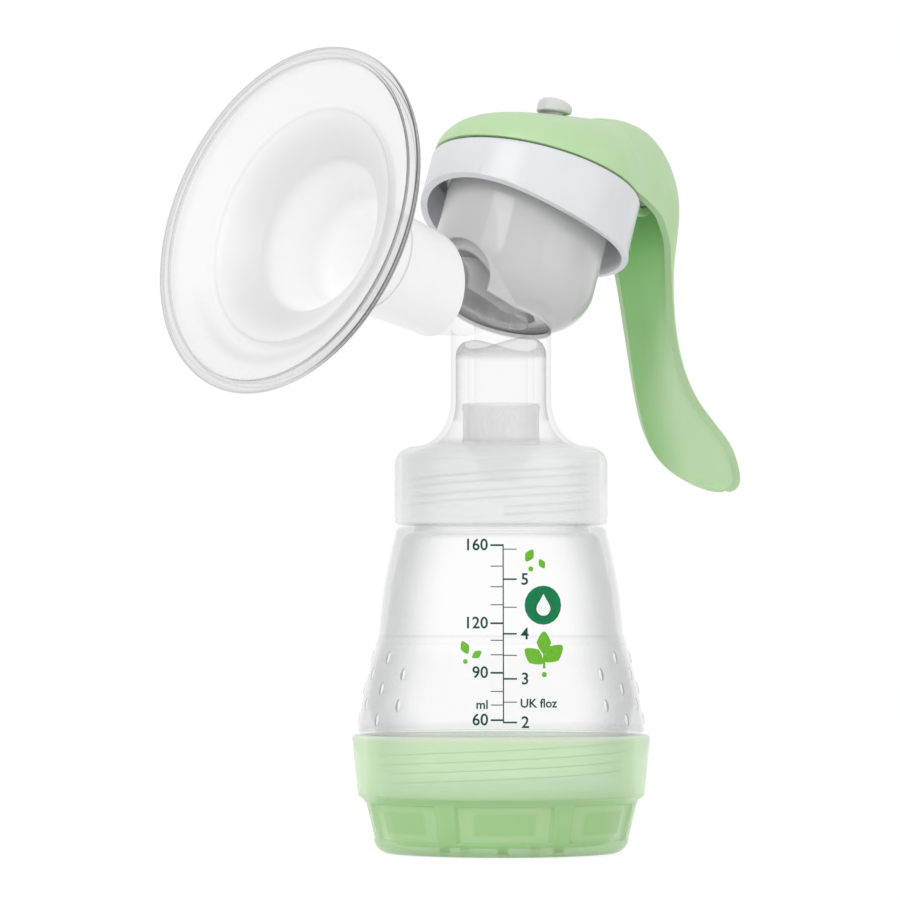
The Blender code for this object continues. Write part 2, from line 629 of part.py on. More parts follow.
def build_funnel(look):
    """Breast funnel: rolled lip, shallow dish, throat, tunnel and socket."""
    narrow, down = THROAT_CURVE
    inside = curve([(RIM_RADIUS - LIP_WIDTH, LIP_DEPTH),
                    (DISH_RADIUS, DISH_DEPTH),
                    (THROAT_RADIUS, THROAT_DEPTH),
                    (THROAT_RADIUS - narrow, THROAT_DEPTH + down),
                    (TUNNEL_RADIUS, TUNNEL_DEPTH)], 2)
    floor = SPIGOT_LENGTH + GAP
    lip = LIP_WIDTH / 2
    crest = arc((RIM_RADIUS - lip, -lip), lip, 150, 0, 5)
    back = []
    for i, (radius, depth) in enumerate(inside):
        before = inside[max(i - 1, 0)]
        after = inside[min(i + 1, len(inside) - 1)]
        run = Vector((after[0] - before[0], after[1] - before[1])).normalized()
        back.append((radius + run.y * FUNNEL_WALL, depth - run.x * FUNNEL_WALL))
    socket = SPIGOT_RADIUS + GAP + SOCKET_WALL
    widening = (FUNNEL_REACH - TUNNEL_DEPTH) * math.tan(SOCKET_TAPER)
    start = -socket * math.tan(FUNNEL_RISE) - SOCKET_WALL
    profile = [(0.0, floor), (TUNNEL_BORE, floor)]
    profile += [(radius, FUNNEL_REACH - depth) for radius, depth in inside[::-1]]
    profile += [(radius, FUNNEL_REACH + rise) for radius, rise in crest]
    profile += [(RIM_RADIUS - lip / 2, FUNNEL_REACH - 2 * lip)]
    profile += [(radius, FUNNEL_REACH - depth) for radius, depth in back[1:-1]]
    profile += [(SIDE_TUBE_RADIUS + widening, FUNNEL_REACH - TUNNEL_DEPTH),
                (SIDE_TUBE_RADIUS, 0.0), (SIDE_TUBE_RADIUS, start), (0.0, start)]
    funnel = turned("funnel", profile, PIECES, FUNNEL_PLACE, look, closed=False)
    boolean(funnel, build_socket(), "DIFFERENCE")
    wide = 2 * SIDE_TUBE_RADIUS
    behind = box("socket_end", (-wide, -wide, 0), (wide, wide, SOCKET_REACH), CUTTERS,
                 TUNNEL_PLACE)
    boolean(funnel, behind, "DIFFERENCE")
    return funnel


def build_socket():
    """Bore for the spigot, with a passage from its end into the tunnel."""
    end = SIDE_TUBE_REACH + SPIGOT_LENGTH + GAP
    bore = SPIGOT_RADIUS + GAP
    profile = [(0.0, end + SPIGOT_LENGTH / 2), (TUNNEL_BORE, end + SPIGOT_LENGTH / 2),
               (TUNNEL_BORE, end), (bore, end), (bore, GAP), (0.0, GAP)]
    return turned("socket_bore", profile, CUTTERS, TUNNEL_PLACE, closed=False)


# --- cover -----------------------------------------------------------------------------

def build_cover(look):
    """White cover: ring with an arched edge, roof with a stem hole, hinge lug."""
    hole = STEM_RADIUS + 2 * GAP
    bead = RIM_FLANGE_RADIUS - SNAP_BEAD
    bead_top = RIM_FLANGE_BOTTOM - GAP
    profile = [(hole, RING_HEIGHT), (RING_RADIUS - RING_ROUND, RING_HEIGHT)]
    profile += arc((RING_RADIUS - RING_ROUND, RING_HEIGHT - RING_ROUND), RING_ROUND, 90, 0, 3)
    profile += [(RING_RADIUS, 3 * RING_ROUND), (RING_RADIUS + RING_LIP, RING_LIP),
                (RING_RADIUS, 0.0), (RING_BORE + RING_LIP, 0.0), (RING_BORE, RING_ROUND),
                (RING_BORE, bead_top - 2 * RING_WALL), (bead, bead_top - RING_WALL / 2),
                (bead, bead_top), (RING_BORE, bead_top), (RING_BORE, COVER_ROOF),
                (hole, COVER_ROOF)]
    cover = turned("pump_cover", profile, PIECES, HEAD_PLACE, look)
    plate = (COVER_ROOF + RING_HEIGHT) / 2
    outline = [(RING_RADIUS / 2, plate), (RING_RADIUS - RING_ROUND, plate)]
    outline += [(HINGE_REACH - LUG_RADIUS / 2, HINGE_HEIGHT - LUG_RADIUS)]
    outline += arc((HINGE_REACH, HINGE_HEIGHT), LUG_RADIUS, -80, 110, 9)
    outline += [(RING_RADIUS / 2, RING_HEIGHT + RING_WALL)]
    boolean(cover, prism("hinge_lug", outline, LUG_HALF_WIDTH, CUTTERS, HEAD_PLACE), "UNION")
    across = Matrix.Translation(HINGE) @ Matrix.Rotation(math.pi / 2, 4, "X")
    half = LUG_HALF_WIDTH + GAP + BEARING_WALL
    boolean(cover, cylinder("trunnion", TRUNNION_RADIUS, -half, half, CUTTERS, across), "UNION")
    boolean(cover, build_ring_arch(), "DIFFERENCE")
    return cover


def build_ring_arch():
    """Cutter that arches the ring's lower edge up over the funnel's side."""
    radius = RING_ARCH_RADIUS
    beyond = RING_RADIUS + 2 * RING_WALL
    start = RING_ARCH_START
    turn = math.degrees(math.asin((beyond + start) / radius))
    outline = arc((start, radius), radius, -90, -90 - turn, 10)
    outline += [(-beyond, -RING_HEIGHT), (start, -RING_HEIGHT)]
    return prism("ring_arch", outline, beyond, CUTTERS, HEAD_PLACE)


# --- diaphragm and stem ----------------------------------------------------------------

def build_diaphragm(look):
    """Silicone cup in the bowl, with a flange and a hub for the stem."""
    floor = DIAPHRAGM_FLOOR
    wall = DIAPHRAGM_WALL
    radius = BOWL_RADIUS - MOULD_WALL - DIAPHRAGM_CLEAR
    corner = DIAPHRAGM_ROUND
    seat = DIAPHRAGM_SEAT
    top = seat + DIAPHRAGM_FLANGE
    flange = RIM_FLANGE_RADIUS - GAP
    pocket = STEM_FOOT_RADIUS + GAP
    mouth = STEM_RADIUS + GAP
    pocket_low = floor + wall
    pocket_high = pocket_low + STEM_FOOT_HEIGHT + 2 * GAP
    profile = [(0.0, pocket_low), (pocket, pocket_low), (pocket, pocket_high),
               (mouth, pocket_high), (mouth, floor + HUB_HEIGHT),
               (pocket + HUB_WALL, floor + HUB_HEIGHT), (pocket + HUB_WALL, floor + wall)]
    profile += arc((radius - corner, floor + corner), corner - wall, -90, 0)
    profile += [(radius - wall, top), (flange, top), (flange, seat), (radius, seat)]
    profile += arc((radius - corner, floor + corner), corner, 0, -90)
    profile += [(0.0, floor)]
    return turned("diaphragm", profile, PIECES, HEAD_PLACE, look, steps=FINE,
                  closed=False)


def build_stem(look):
    """Pull stem: a foot in the diaphragm's hub, a shaft and a round knob."""
    foot = DIAPHRAGM_FLOOR + DIAPHRAGM_WALL + GAP
    rest = CROWN + STEM_RADIUS * math.tan(HEAD_TILT) + GAP
    cone = (KNOB_RADIUS - STEM_RADIUS) * math.tan(KNOB_CONE)
    dome = KNOB_HEIGHT - cone
    profile = [(0.0, rest + KNOB_HEIGHT)]
    profile += [(KNOB_RADIUS * math.cos(math.radians(a)),
                 rest + cone
                 + dome * (KNOB_BAND + (1 - KNOB_BAND) * math.sin(math.radians(a))))
                for a in (70, 50, 30, 0)]
    profile += [(KNOB_RADIUS, rest + cone), (STEM_RADIUS, rest),
                (STEM_RADIUS, foot + STEM_FOOT_HEIGHT),
                (STEM_FOOT_RADIUS, foot + STEM_FOOT_HEIGHT), (STEM_FOOT_RADIUS, foot),
                (0.0, foot)]
    return turned("pull_stem", profile, PIECES, HEAD_PLACE, look, steps=16, closed=False)


# --- lever -------------------------------------------------------------------------------

def lever_rows(inset=0.0):
    """Rows of the lever: ridge x and z, edge x and z, half width, arch power.

    All are measured from the hinge. The cap's rows follow the ring, and
    the handle's rows are its own. An inset moves every row in by a wall,
    and ends the hollow short of the tip.
    """
    cap = RING_RADIUS - LEVER_INSET - inset
    edge = RING_HEIGHT + GAP
    rise = math.tan(HEAD_TILT)
    rows = []
    for share, full in CAP_ROWS:
        reach = cap * share
        crown = edge + (CROWN + rise * reach - edge) * full - inset
        ridge = head_point(reach, crown) - HINGE
        rim = head_point(reach, edge) - HINGE
        rows.append((ridge.x, ridge.z, rim.x, rim.z, cap * math.sqrt(1 - share ** 2), 1.0))
    for ridge_x, ridge_z, rim_x, rim_z, half, fullness in HANDLE_ROWS:
        ridge = Vector((ridge_x, ridge_z)) * MM
        rim = Vector((rim_x, rim_z)) * MM
        ridge -= (ridge - rim).normalized() * inset
        rows.append((*ridge, *rim, half * MM - inset, fullness))
    if inset:
        near, far = rows[-3:-1]
        rows[-2:] = [tuple(0.2 * p + 0.8 * q for p, q in zip(near, far))]
    return curve(rows, 2)


def lever_section(row, skirt):
    """Arch across a row, with a straight skirt below its edge."""
    ridge = Vector((row[0], 0, row[1]))
    rim = Vector((row[2], 0, row[3]))
    up = (ridge - rim).normalized()
    height = (ridge - rim).length
    across = Vector((0, row[4], 0))
    points = [rim - up * skirt - across]
    for i in range(LEVER_STEPS + 1):
        angle = math.pi * i / LEVER_STEPS
        lift = height * max(math.sin(angle), 0.0) ** row[5]
        points.append(rim + up * lift - across * math.cos(angle))
    points.append(rim - up * skirt + across)
    return points


def build_lever(look):
    """Hollow lever: a cap over the ring that runs down into a curved grip."""
    place = Matrix.Translation(HINGE)
    body = loft("pump_lever", [lever_section(row, LEVER_EDGE) for row in lever_rows()],
                PIECES, place, look)
    hollow = loft("lever_hollow", [lever_section(row, 3 * LEVER_WALL)
                                   for row in lever_rows(LEVER_WALL)], CUTTERS, place)
    for side in (-1, 1):
        boolean(hollow, bearing_plate(side), "DIFFERENCE")
    boolean(body, hollow, "DIFFERENCE")
    half = LUG_HALF_WIDTH + 2 * GAP + BEARING_WALL
    across = place @ Matrix.Rotation(math.pi / 2, 4, "X")
    boolean(body, cylinder("bearing_bore", TRUNNION_RADIUS + GAP, -half, half, CUTTERS,
                           across), "DIFFERENCE")
    boolean(body, build_stem_slot(), "DIFFERENCE")
    return body


def bearing_plate(side):
    """Plate left inside the lever, with the hinge's bearing at its foot."""
    inner = LUG_HALF_WIDTH + GAP
    outline = arc((0, 0), BEARING_RADIUS, 180, 360, 10)
    outline += [(BEARING_RADIUS, LEVER_CROWN * 2), (-BEARING_RADIUS, LEVER_CROWN * 2)]
    middle = Matrix.Translation(HINGE + Vector((0, side * (inner + BEARING_WALL / 2), 0)))
    name = "bearing_plate_left" if side > 0 else "bearing_plate_right"
    return prism(name, outline, BEARING_WALL / 2, CUTTERS, middle)


def build_stem_slot():
    """Slot in the lever's crown that the stem rides in."""
    radius = STEM_RADIUS + 1.5 * GAP
    outline = arc((0, 0), radius, -90, 90, 8)
    outline += arc((-STEM_SLOT_LENGTH, 0), radius, 90, 270, 8)
    form = bmesh.new()
    verts = [form.verts.new((x, y, CROWN - LEVER_CROWN / 2)) for x, y in outline]
    face = form.faces.new(verts)
    raised = bmesh.ops.extrude_face_region(form, geom=[face])
    moved = [item for item in raised["geom"] if isinstance(item, bmesh.types.BMVert)]
    bmesh.ops.translate(form, vec=(0, 0, LEVER_CROWN), verts=moved)
    return finish(form, "stem_slot", CUTTERS, HEAD_PLACE)


# --- assembly ------------------------------------------------------------------------------

def build():
    """Build every piece and shade the round ones smooth."""
    clear_plastic = material("clear_plastic", (0.92, 0.94, 0.94), 0.08, 0.4, 0.9)
    green_base = material("green_clear_plastic", (0.42, 0.75, 0.35), 0.25, 0.8, 0.4)
    silicone = material("silicone", (0.86, 0.87, 0.87), 0.45, 0.7, 0.3)
    green = material("green_plastic", (0.42, 0.68, 0.32), 0.35)
    white = material("white_plastic", (0.85, 0.87, 0.9), 0.3)
    build_base(green_base)
    build_vent_disc(silicone)
    build_bottle(clear_plastic)
    build_pump_body(clear_plastic)
    build_valve(silicone)
    build_funnel(clear_plastic)
    build_cover(white)
    build_diaphragm(silicone)
    build_stem(silicone)
    build_lever(green)


clear_scene()
PIECES = collection("manual_breast_pump")
CUTTERS = collection("cutters")
build()
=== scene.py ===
"""Studio picture of the manual breast pump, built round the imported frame."""

import math

import bpy
from mathutils import Matrix, Vector


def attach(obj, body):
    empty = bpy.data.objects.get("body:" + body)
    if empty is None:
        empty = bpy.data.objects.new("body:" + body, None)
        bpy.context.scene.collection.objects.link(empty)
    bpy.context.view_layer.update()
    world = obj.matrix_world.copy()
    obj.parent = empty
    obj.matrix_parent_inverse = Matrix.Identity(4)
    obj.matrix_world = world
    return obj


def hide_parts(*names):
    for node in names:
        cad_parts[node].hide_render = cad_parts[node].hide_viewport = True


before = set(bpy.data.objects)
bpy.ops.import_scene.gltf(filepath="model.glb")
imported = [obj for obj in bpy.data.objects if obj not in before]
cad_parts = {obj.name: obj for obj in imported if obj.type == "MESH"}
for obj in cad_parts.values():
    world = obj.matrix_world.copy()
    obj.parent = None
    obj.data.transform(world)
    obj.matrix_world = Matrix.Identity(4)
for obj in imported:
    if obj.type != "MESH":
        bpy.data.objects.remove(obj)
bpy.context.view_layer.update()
MM = 0.001

# --- sizes in millimetres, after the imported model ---

GAP = 0.3
FACING = math.radians(-133.0)          # side that the base's panels are set by
PRINT_FACING = math.radians(-134.0)    # side of the bottle that carries the print

BASE_HEIGHT = 27.6
BASE_LEDGE = 13.4
BASE_BORE = 31.6
TIER_RADIUS = 32.1
PANEL_RADIUS = 31.4
PANELS = 7
STEPS_PER_PANEL = 24
PILLAR_STEPS = 4

BOTTLE_FOOT = 15.6
BODY_FOOT = 27.9
WAIST = 50.6
SHOULDER = 76.5
NECK_TOP = 93.3
NECK_RADIUS = 22.0
SKIRT_RADIUS = 31.3
SKIRT_BORE = 29.7

COLLAR_RADIUS = 25.0
COLLAR_BORE = 23.2
COLLAR_TOP = 95.1
COLLAR_CORNER = 4.2
TUBE_NECK_RADIUS = 11.8
FLARE_TOP = 106.1
NECK_ROOF = 120.6
SIDE_TUBE_RADIUS = 11.5
SPIGOT_RADIUS = 8.6
TUNNEL_HEIGHT = 132.2
TUNNEL_BORE = 7.1
BOWL_FOOT = 125.5
MILK_TUBE_RADIUS = 7.9
MILK_TUBE_LENGTH = 28.5
MILK_BORE = 6.3
VALVE_RADIUS = 9.15
SOCKET_MOUTH = -23.0

HEAD_TILT = math.radians(19.5)
HEAD_ORIGIN = (6.843, 0.0, 144.824)
BOWL_RADIUS = 19.8
BOWL_DEPTH = 20.5
FLANGE_RADIUS = 23.4
FLANGE_TOP = 11.5
RING_RADIUS = 25.3
RING_HEIGHT = 15.2
CROWN = 31.2
STEM_RADIUS = 2.2
STEM_SLOT_RADIUS = 2.65
KNOB_RADIUS = 4.15

FUNNEL_RISE = math.radians(16.0)
FUNNEL_REACH = 48.0
LIP_RADIUS = 38.5
STEP_RADIUS = 28.0
THROAT_RADIUS = 18.2
FUNNEL_WALL = 1.7
SOCKET_RADIUS = 11.5
SOCKET_WALL = 1.6
HINGE = (41.362, 0.0, 155.727)
TRUNNION_RADIUS = 2.0


def placed(x, y, z):
    """Shift to a place given in mm."""
    return Matrix.Translation(Vector((x, y, z)) * MM)


HEAD_TURN = Matrix.Rotation(HEAD_TILT, 4, "Y")
HEAD_PLACE = placed(*HEAD_ORIGIN) @ HEAD_TURN
TUNNEL_PLACE = placed(0, 0, TUNNEL_HEIGHT) @ Matrix.Rotation(-math.pi / 2, 4, "Y")
FUNNEL_PLACE = (placed(SOCKET_MOUTH, 0, TUNNEL_HEIGHT)
                @ Matrix.Rotation(FUNNEL_RISE - math.pi / 2, 4, "Y"))
ACROSS = Matrix.Rotation(math.pi / 2, 4, "X")
HINGE_PLACE = placed(*HINGE) @ ACROSS
HEAD_AXIS = HEAD_TURN @ Vector((0, 0, 1))
HEAD_SIDE = HEAD_TURN @ Vector((1, 0, 0))


# --- shader expressions ---

class Wire:
    """A socket in a material, with arithmetic that adds Math nodes."""

    def __init__(self, tree, socket):
        self.tree = tree
        self.socket = socket

    def math(self, operation, *values):
        made = node(self.tree, "ShaderNodeMath", {"operation": operation}, (self, *values))
        return Wire(self.tree, made.outputs[0])

    def __add__(self, other):
        return self.math("ADD", other)

    __radd__ = __add__

    def __mul__(self, other):
        return self.math("MULTIPLY", other)

    __rmul__ = __mul__

    def __sub__(self, other):
        return self.math("SUBTRACT", other)

    def __rsub__(self, other):
        return (self * -1.0) + other

    def __pow__(self, other):
        return self.math("POWER", other)

    def step(self, low, high):
        """Smooth step from 0 at low to 1 at high."""
        made = node(self.tree, "ShaderNodeMapRange", {"interpolation_type": "SMOOTHSTEP"},
                    {"Value": self, "From Min": low, "From Max": high})
        return Wire(self.tree, made.outputs["Result"])

    def fall(self, low, high):
        """Smooth step from 1 at low to 0 at high."""
        return 1.0 - self.step(low, high)

    def line(self, centre, width):
        """Soft line of a given half width about a value."""
        return (self - centre).math("ABSOLUTE").fall(0.0, width)

    def capped(self):
        return self.math("MINIMUM", 1.0)


def length(across, along):
    """Length of a pair of distances at right angles."""
    return (across * across + along * along).math("SQRT")


def grey(value):
    return (value, value, value)


def rgba(colour):
    """A colour as its socket takes it. A link stays as it is."""
    return colour if isinstance(colour, Wire) else (*colour, 1.0)


def node(tree, kind, settings, values):
    """Add a node, set its settings, then link or set its inputs."""
    made = tree.nodes.new(kind)
    for key, value in settings.items():
        setattr(made, key, value)
    items = values.items() if isinstance(values, dict) else enumerate(values)
    for key, value in items:
        if isinstance(value, Wire):
            tree.links.new(value.socket, made.inputs[key])
        else:
            made.inputs[key].default_value = value
    return made


class Finish:
    """A Principled finish with helpers for its patterns. Its x, y and z are in mm."""

    def __init__(self, name, colour, roughness, **extra):
        self.look = bpy.data.materials.new(name)
        self.look.use_nodes = True
        self.tree = self.look.node_tree
        self.shader = self.tree.nodes["Principled BSDF"]
        self.roughness = roughness
        self.shader.inputs["Base Color"].default_value = rgba(colour)
        self.shader.inputs["Roughness"].default_value = roughness
        for key, value in extra.items():
            self.shader.inputs[key.replace("_", " ")].default_value = value
        start = node(self.tree, "ShaderNodeTexCoord", {}, {})
        self.place = Wire(self.tree, start.outputs["Object"])
        parts = node(self.tree, "ShaderNodeSeparateXYZ", {}, {0: self.place})
        self.x, self.y, self.z = (Wire(self.tree, out) * (1 / MM) for out in parts.outputs)

    def cloud(self, size_mm, detail=2.0):
        """Noise whose blotches are about a size across, from 0 to 1."""
        made = node(self.tree, "ShaderNodeTexNoise", {},
                    {"Vector": self.place, "Scale": 1.0 / (size_mm * MM), "Detail": detail})
        return Wire(self.tree, made.outputs["Fac"])

    def mix(self, factor, first, second):
        """Blend two colours. Either may be a link."""
        made = node(self.tree, "ShaderNodeMix", {"data_type": "RGBA"},
                    {0: factor, 6: rgba(first), 7: rgba(second)})
        return Wire(self.tree, made.outputs[2])

    def mottle(self, flow, first, second):
        """Blend two near colours by a slow noise."""
        return self.mix(flow.step(0.3, 0.7), first, second)

    def feed(self, socket, wire):
        self.tree.links.new(wire.socket, self.shader.inputs[socket])

    def slant(self):
        """0 where the surface faces the eye, 1 at its edges."""
        made = node(self.tree, "ShaderNodeLayerWeight", {}, {"Blend": 0.5})
        return Wire(self.tree, made.outputs["Facing"])

    def bump(self, height, strength, distance_mm):
        made = node(self.tree, "ShaderNodeBump", {},
                    {"Height": height, "Strength": strength, "Distance": distance_mm * MM})
        self.feed("Normal", Wire(self.tree, made.outputs[0]))

    def moulded(self, uneven=0.05, grain=0.08, grain_mm=0.35):
        """Moulder's texture: faint flow in the gloss and a fine grain."""
        flow = self.cloud(9.0, 3.0)
        self.feed("Roughness", flow * uneven + (self.roughness - uneven / 2))
        self.bump(self.cloud(grain_mm, 1.0) + self.cloud(14.0) * 2.0, grain, 0.03)
        return flow


# --- finishes ---

def make_lever_green():
    """Satin leaf green, a little paler where the moulding is thick."""
    paint = Finish("green_plastic", (0.48, 0.70, 0.385), 0.34)
    flow = paint.moulded(0.08, 0.10)
    paint.feed("Base Color", paint.mottle(flow, (0.485, 0.715, 0.385), (0.51, 0.735, 0.41)))
    return paint.look


def make_lever_inner_shading():
    """Inner side of the lever, a copy of the green with shade and light painted in: painted shade
    deepens it up in the cap, painted light makes it paler in the grip.
    """
    paint = Finish("green_plastic_inner_painted_shading", (0.34, 0.62, 0.24), 0.42)
    flow = paint.moulded(0.08, 0.08)
    # painted shade: deep green in the lever's channel, with a little less painted shade up at the
    # cap's top
    deep = paint.mottle(flow, (0.33, 0.65, 0.25), (0.35, 0.67, 0.27))
    tone = paint.mix(paint.z.step(120, 150), deep, (0.40, 0.82, 0.30))
    # painted light: the grip's inner side is painted much paler
    low = (paint.z + paint.y * 2.5).fall(104, 134) * paint.z.fall(126, 142)
    paint.feed("Base Color", paint.mix(low, tone, (0.63, 0.88, 0.52)))
    return paint.look


def make_white():
    """Cool white of the cover's ring, glossy."""
    paint = Finish("white_plastic", (0.80, 0.82, 0.86), 0.26)
    flow = paint.moulded(0.06, 0.05)
    paint.feed("Base Color", paint.mottle(flow, (0.75, 0.765, 0.80), (0.775, 0.79, 0.82)))
    return paint.look


def make_bottle_clear():
    """Clear bottle: bare in its middle, grey where its wall turns away."""
    paint = Finish("bottle_clear", (0.60, 0.61, 0.62), 0.08)
    paint.moulded(0.03, 0.03)
    edge = paint.slant()
    side = edge.step(0.14, 0.62) * 0.30
    wall = side * (1.0 - edge.step(0.72, 0.97) * 0.6)
    neck = paint.z.step(SHOULDER, SHOULDER + 1.5)
    lower = paint.z.fall(WAIST - 6.6, WAIST + 1.4) * 0.034 + 0.012
    waist = paint.z.line(WAIST, 0.5) * 0.06
    foot = paint.z.line(29.0, 1.6) * 0.08
    hidden = paint.z.fall(27, 29)
    paint.feed("Alpha", wall * (1.0 - neck * 0.6 - hidden * 0.2) + lower + waist + foot)
    return paint.look


def make_body_clear():
    """Clear body with a frosted collar and a smoky bowl, with painted shade in the bowl's lower
    corner on the lever's side.
    """
    paint = Finish("body_clear", (0.60, 0.60, 0.61), 0.1)
    flow = paint.moulded(0.04, 0.03)
    away_x = paint.x - HEAD_ORIGIN[0]
    away_z = paint.z - HEAD_ORIGIN[2]
    side = away_x * HEAD_SIDE.x + away_z * HEAD_SIDE.z
    rise = away_x * HEAD_AXIS.x + away_z * HEAD_AXIS.z
    bowl = length(side, paint.y).fall(BOWL_RADIUS + 0.2, BOWL_RADIUS + 0.8)
    bowl = bowl * rise.step(-BOWL_DEPTH - 0.7, -BOWL_DEPTH - 0.1)
    collar = paint.z.fall(COLLAR_TOP - 0.6, COLLAR_TOP + 2.4)
    edge = paint.slant()
    spread = length(paint.x, paint.y)
    shaft = spread.fall(TUBE_NECK_RADIUS - 0.6, TUBE_NECK_RADIUS - 0.3)
    shaft = shaft * paint.z.fall(NECK_ROOF + 1.4, NECK_ROOF + 2.4)
    inner = spread.fall(MILK_TUBE_RADIUS + 0.4, MILK_TUBE_RADIUS + 0.9) * shaft
    arch = paint.z.step(NECK_ROOF - 5, NECK_ROOF - 3.4) * (shaft - inner)
    around = length(paint.z - TUNNEL_HEIGHT, paint.y)
    tunnel = around.fall(SPIGOT_RADIUS + 0.1, SPIGOT_RADIUS + 0.5) * paint.x.fall(6, 9)
    haze = bowl * (1.0 - tunnel * 0.40) * 0.76 + collar * 0.33 + arch * 0.30
    liner = edge ** 3.5 * (shaft - inner) * 0.6
    wall = edge ** 3.0 * (bowl * 0.18 + 0.26 - inner * 0.18 - tunnel * 0.16) + liner + 0.012
    paint.feed("Alpha", (wall + haze).capped())
    tone = paint.mix(collar, (0.50, 0.50, 0.51), (0.99, 0.99, 1.0))
    # painted shade: the bowl is painted darker in its lower corner on the lever's side
    shaded_corner = side.step(0, 15) * (rise * -1.0).step(2, 15)
    smoke_and_shade = paint.mix(shaded_corner, paint.mix(flow, grey(0.72), grey(0.76)), grey(0.56))
    paint.feed("Base Color", paint.mix(bowl, tone, smoke_and_shade))
    return paint.look


def make_funnel_clear():
    """Funnel: clear lip, milky dish and a nearly opaque neck, with painted shade, a painted
    shadow streak, painted refraction lines on the lip and a painted glow in the throat and neck.
    """
    paint = Finish("funnel_clear", grey(0.90), 0.12, Emission_Strength=0.075)
    axis = FUNNEL_PLACE.to_3x3() @ Vector((0, 0, 1))
    start = FUNNEL_PLACE.translation / MM
    out = (paint.x - start.x) * axis.x + (paint.z - start.z) * axis.z
    deep = out * -1.0 + FUNNEL_REACH
    up = (paint.x - start.x) * axis.z * -1.0 + (paint.z - start.z) * axis.x
    reach = length(up, paint.y)
    lip = reach.step(LIP_RADIUS - 0.4, LIP_RADIUS + 0.1)
    flow = paint.cloud(9.0, 3.0)
    paint.feed("Roughness", (1.0 - lip) * 0.26 + flow * 0.05 + 0.08)
    paint.bump(paint.cloud(0.4, 1.0) + flow * 2.0, 0.03, 0.03)
    milky = reach.fall(STEP_RADIUS - 1.5, STEP_RADIUS + 1.5)
    lower = up.step(8, 30)
    right = (paint.y * -1.0).step(12, 32)
    neck = deep.step(21, 27)
    edge = paint.slant()
    dish = edge ** 2.5 * 0.4 + 0.30 + milky * 0.37 + lower * 0.18 + neck * 0.24
    # painted refraction lines round the lip, denser on the right side
    lines = reach.line(41.25, 0.16) + reach.line(39.4, 0.25) + reach.line(38.35, 0.3)
    rim = edge ** 2.5 * 0.56 + 0.18 + lines * (right * 0.60 + 0.28)
    paint.feed("Alpha", (dish * (1.0 - lip) + rim * lip).capped())
    throat = reach.fall(THROAT_RADIUS - 1.4, THROAT_RADIUS + 0.8)
    ring = (1.0 - throat) * reach.fall(20, 29)
    # painted shade: the ring between step and throat is darkened, most on the right side and
    # towards the bottom
    shade = ring * (right * (1.0 - lower) * 0.52 + lower * 0.38 + 0.28)
    tone = paint.mix(shade, grey(0.89), grey(0.64))
    # painted shadow: a dark streak across the lower dish near the step
    painted_shadow_streak = reach.line(32.5, 2.5) * lower * 0.25
    # painted shade along the step's crease, stronger on the right side
    crease_shade = reach.line(STEP_RADIUS, 0.55) * deep.step(3, 5)
    crease_shade = crease_shade * (right * 0.55 + 0.25) + painted_shadow_streak
    tone = paint.mix(crease_shade, tone, grey(0.42))
    # painted light in the throat, which is painted near white where it gets little light; in the
    # neck the near white is the milky plastic's own
    tone = paint.mix((throat + neck).capped(), tone, grey(0.98))
    # painted refraction lines: dark lines on the lip's right side
    painted_refraction_lines = paint.mix((lines * right).capped(), grey(0.52), grey(0.10))
    paint.feed("Base Color", paint.mix(lip, tone, painted_refraction_lines))
    # painted glow: the throat and neck give off a little light of their own, standing in for
    # light through the milky plastic
    glow = (throat * 0.3 + neck).capped()
    paint.feed("Emission Color", paint.mix(glow, grey(0), grey(1)))
    return paint.look


def make_base_green():
    """Tinted clear plastic of the base cup, cloudier in the skirt, with a painted highlight round
    each panel.
    """
    paint = Finish("base_green", (0.36, 0.64, 0.24), 0.16)
    flow = paint.moulded(0.05, 0.05)
    skirt = paint.z.step(12.5, 14.5)
    rim = paint.z.step(BASE_HEIGHT - 1.4, BASE_HEIGHT - 0.4)
    edge = paint.slant()
    half = math.pi / PANELS
    turn = paint.y.math("ARCTAN2", paint.x) - FACING
    across = turn.math("WRAP", half, -half).math("ABSOLUTE") * PANEL_RADIUS
    panel = across.fall(10.9, 11.5) * paint.z.step(3.2, 3.8) * paint.z.fall(11.4, 12.0)
    window = across.fall(6.8, 8.4) * paint.z.step(4.4, 5.6) * paint.z.fall(9.6, 10.8)
    # painted highlight: the frame between each panel's edge and its inner window is painted
    # lighter
    tone = paint.mix(panel - window, (0.46, 0.78, 0.325), (0.57, 0.86, 0.43))
    tone = paint.mix(skirt, tone, (0.69, 0.92, 0.575))
    tone = paint.mix(rim, tone, (0.86, 0.94, 0.79))
    paint.feed("Base Color", paint.mix(flow * 0.2, tone, (0.60, 0.86, 0.48)))
    upper = edge.step(0.35, 0.85) * 0.40 + 0.40
    tier = edge ** 2.0 * 0.25 + 0.56
    paint.feed("Alpha", (upper * skirt + tier * (1.0 - skirt)).capped())
    return paint.look


def make_silicone(name, colour, alpha):
    """Soft cloudy silicone with a dusty bloom."""
    paint = Finish(name, colour, 0.5)
    flow = paint.moulded(0.12, 0.12, 0.25)
    pale = tuple(min(1.0, part * 1.12) for part in colour)
    paint.feed("Base Color", paint.mottle(flow, colour, pale))
    edge = paint.slant()
    paint.feed("Alpha", (edge ** 2.0 * (0.98 - alpha) + alpha).capped())
    return paint.look


def make_thread(name, colour, alpha):
    """Thread lines as the wall shows them: clear in front, lost in the far wall."""
    paint = Finish(name, colour, 0.3)
    paint.moulded(0.08, 0.06)
    front = paint.x * math.cos(FACING) + paint.y * math.sin(FACING)
    paint.feed("Alpha", front.step(0, 14) * alpha + 0.02)
    return paint.look


def make_print(name, colour):
    """Screen-printed ink with a slightly uneven film."""
    paint = Finish(name, colour, 0.5, Specular_IOR_Level=0.12)
    film = paint.cloud(0.5, 2.0)
    pale = tuple(part * 1.12 + 0.004 for part in colour)
    paint.feed("Base Color", paint.mix(film.step(0.35, 0.65), colour, pale))
    paint.bump(film, 0.1, 0.02)
    return paint.look


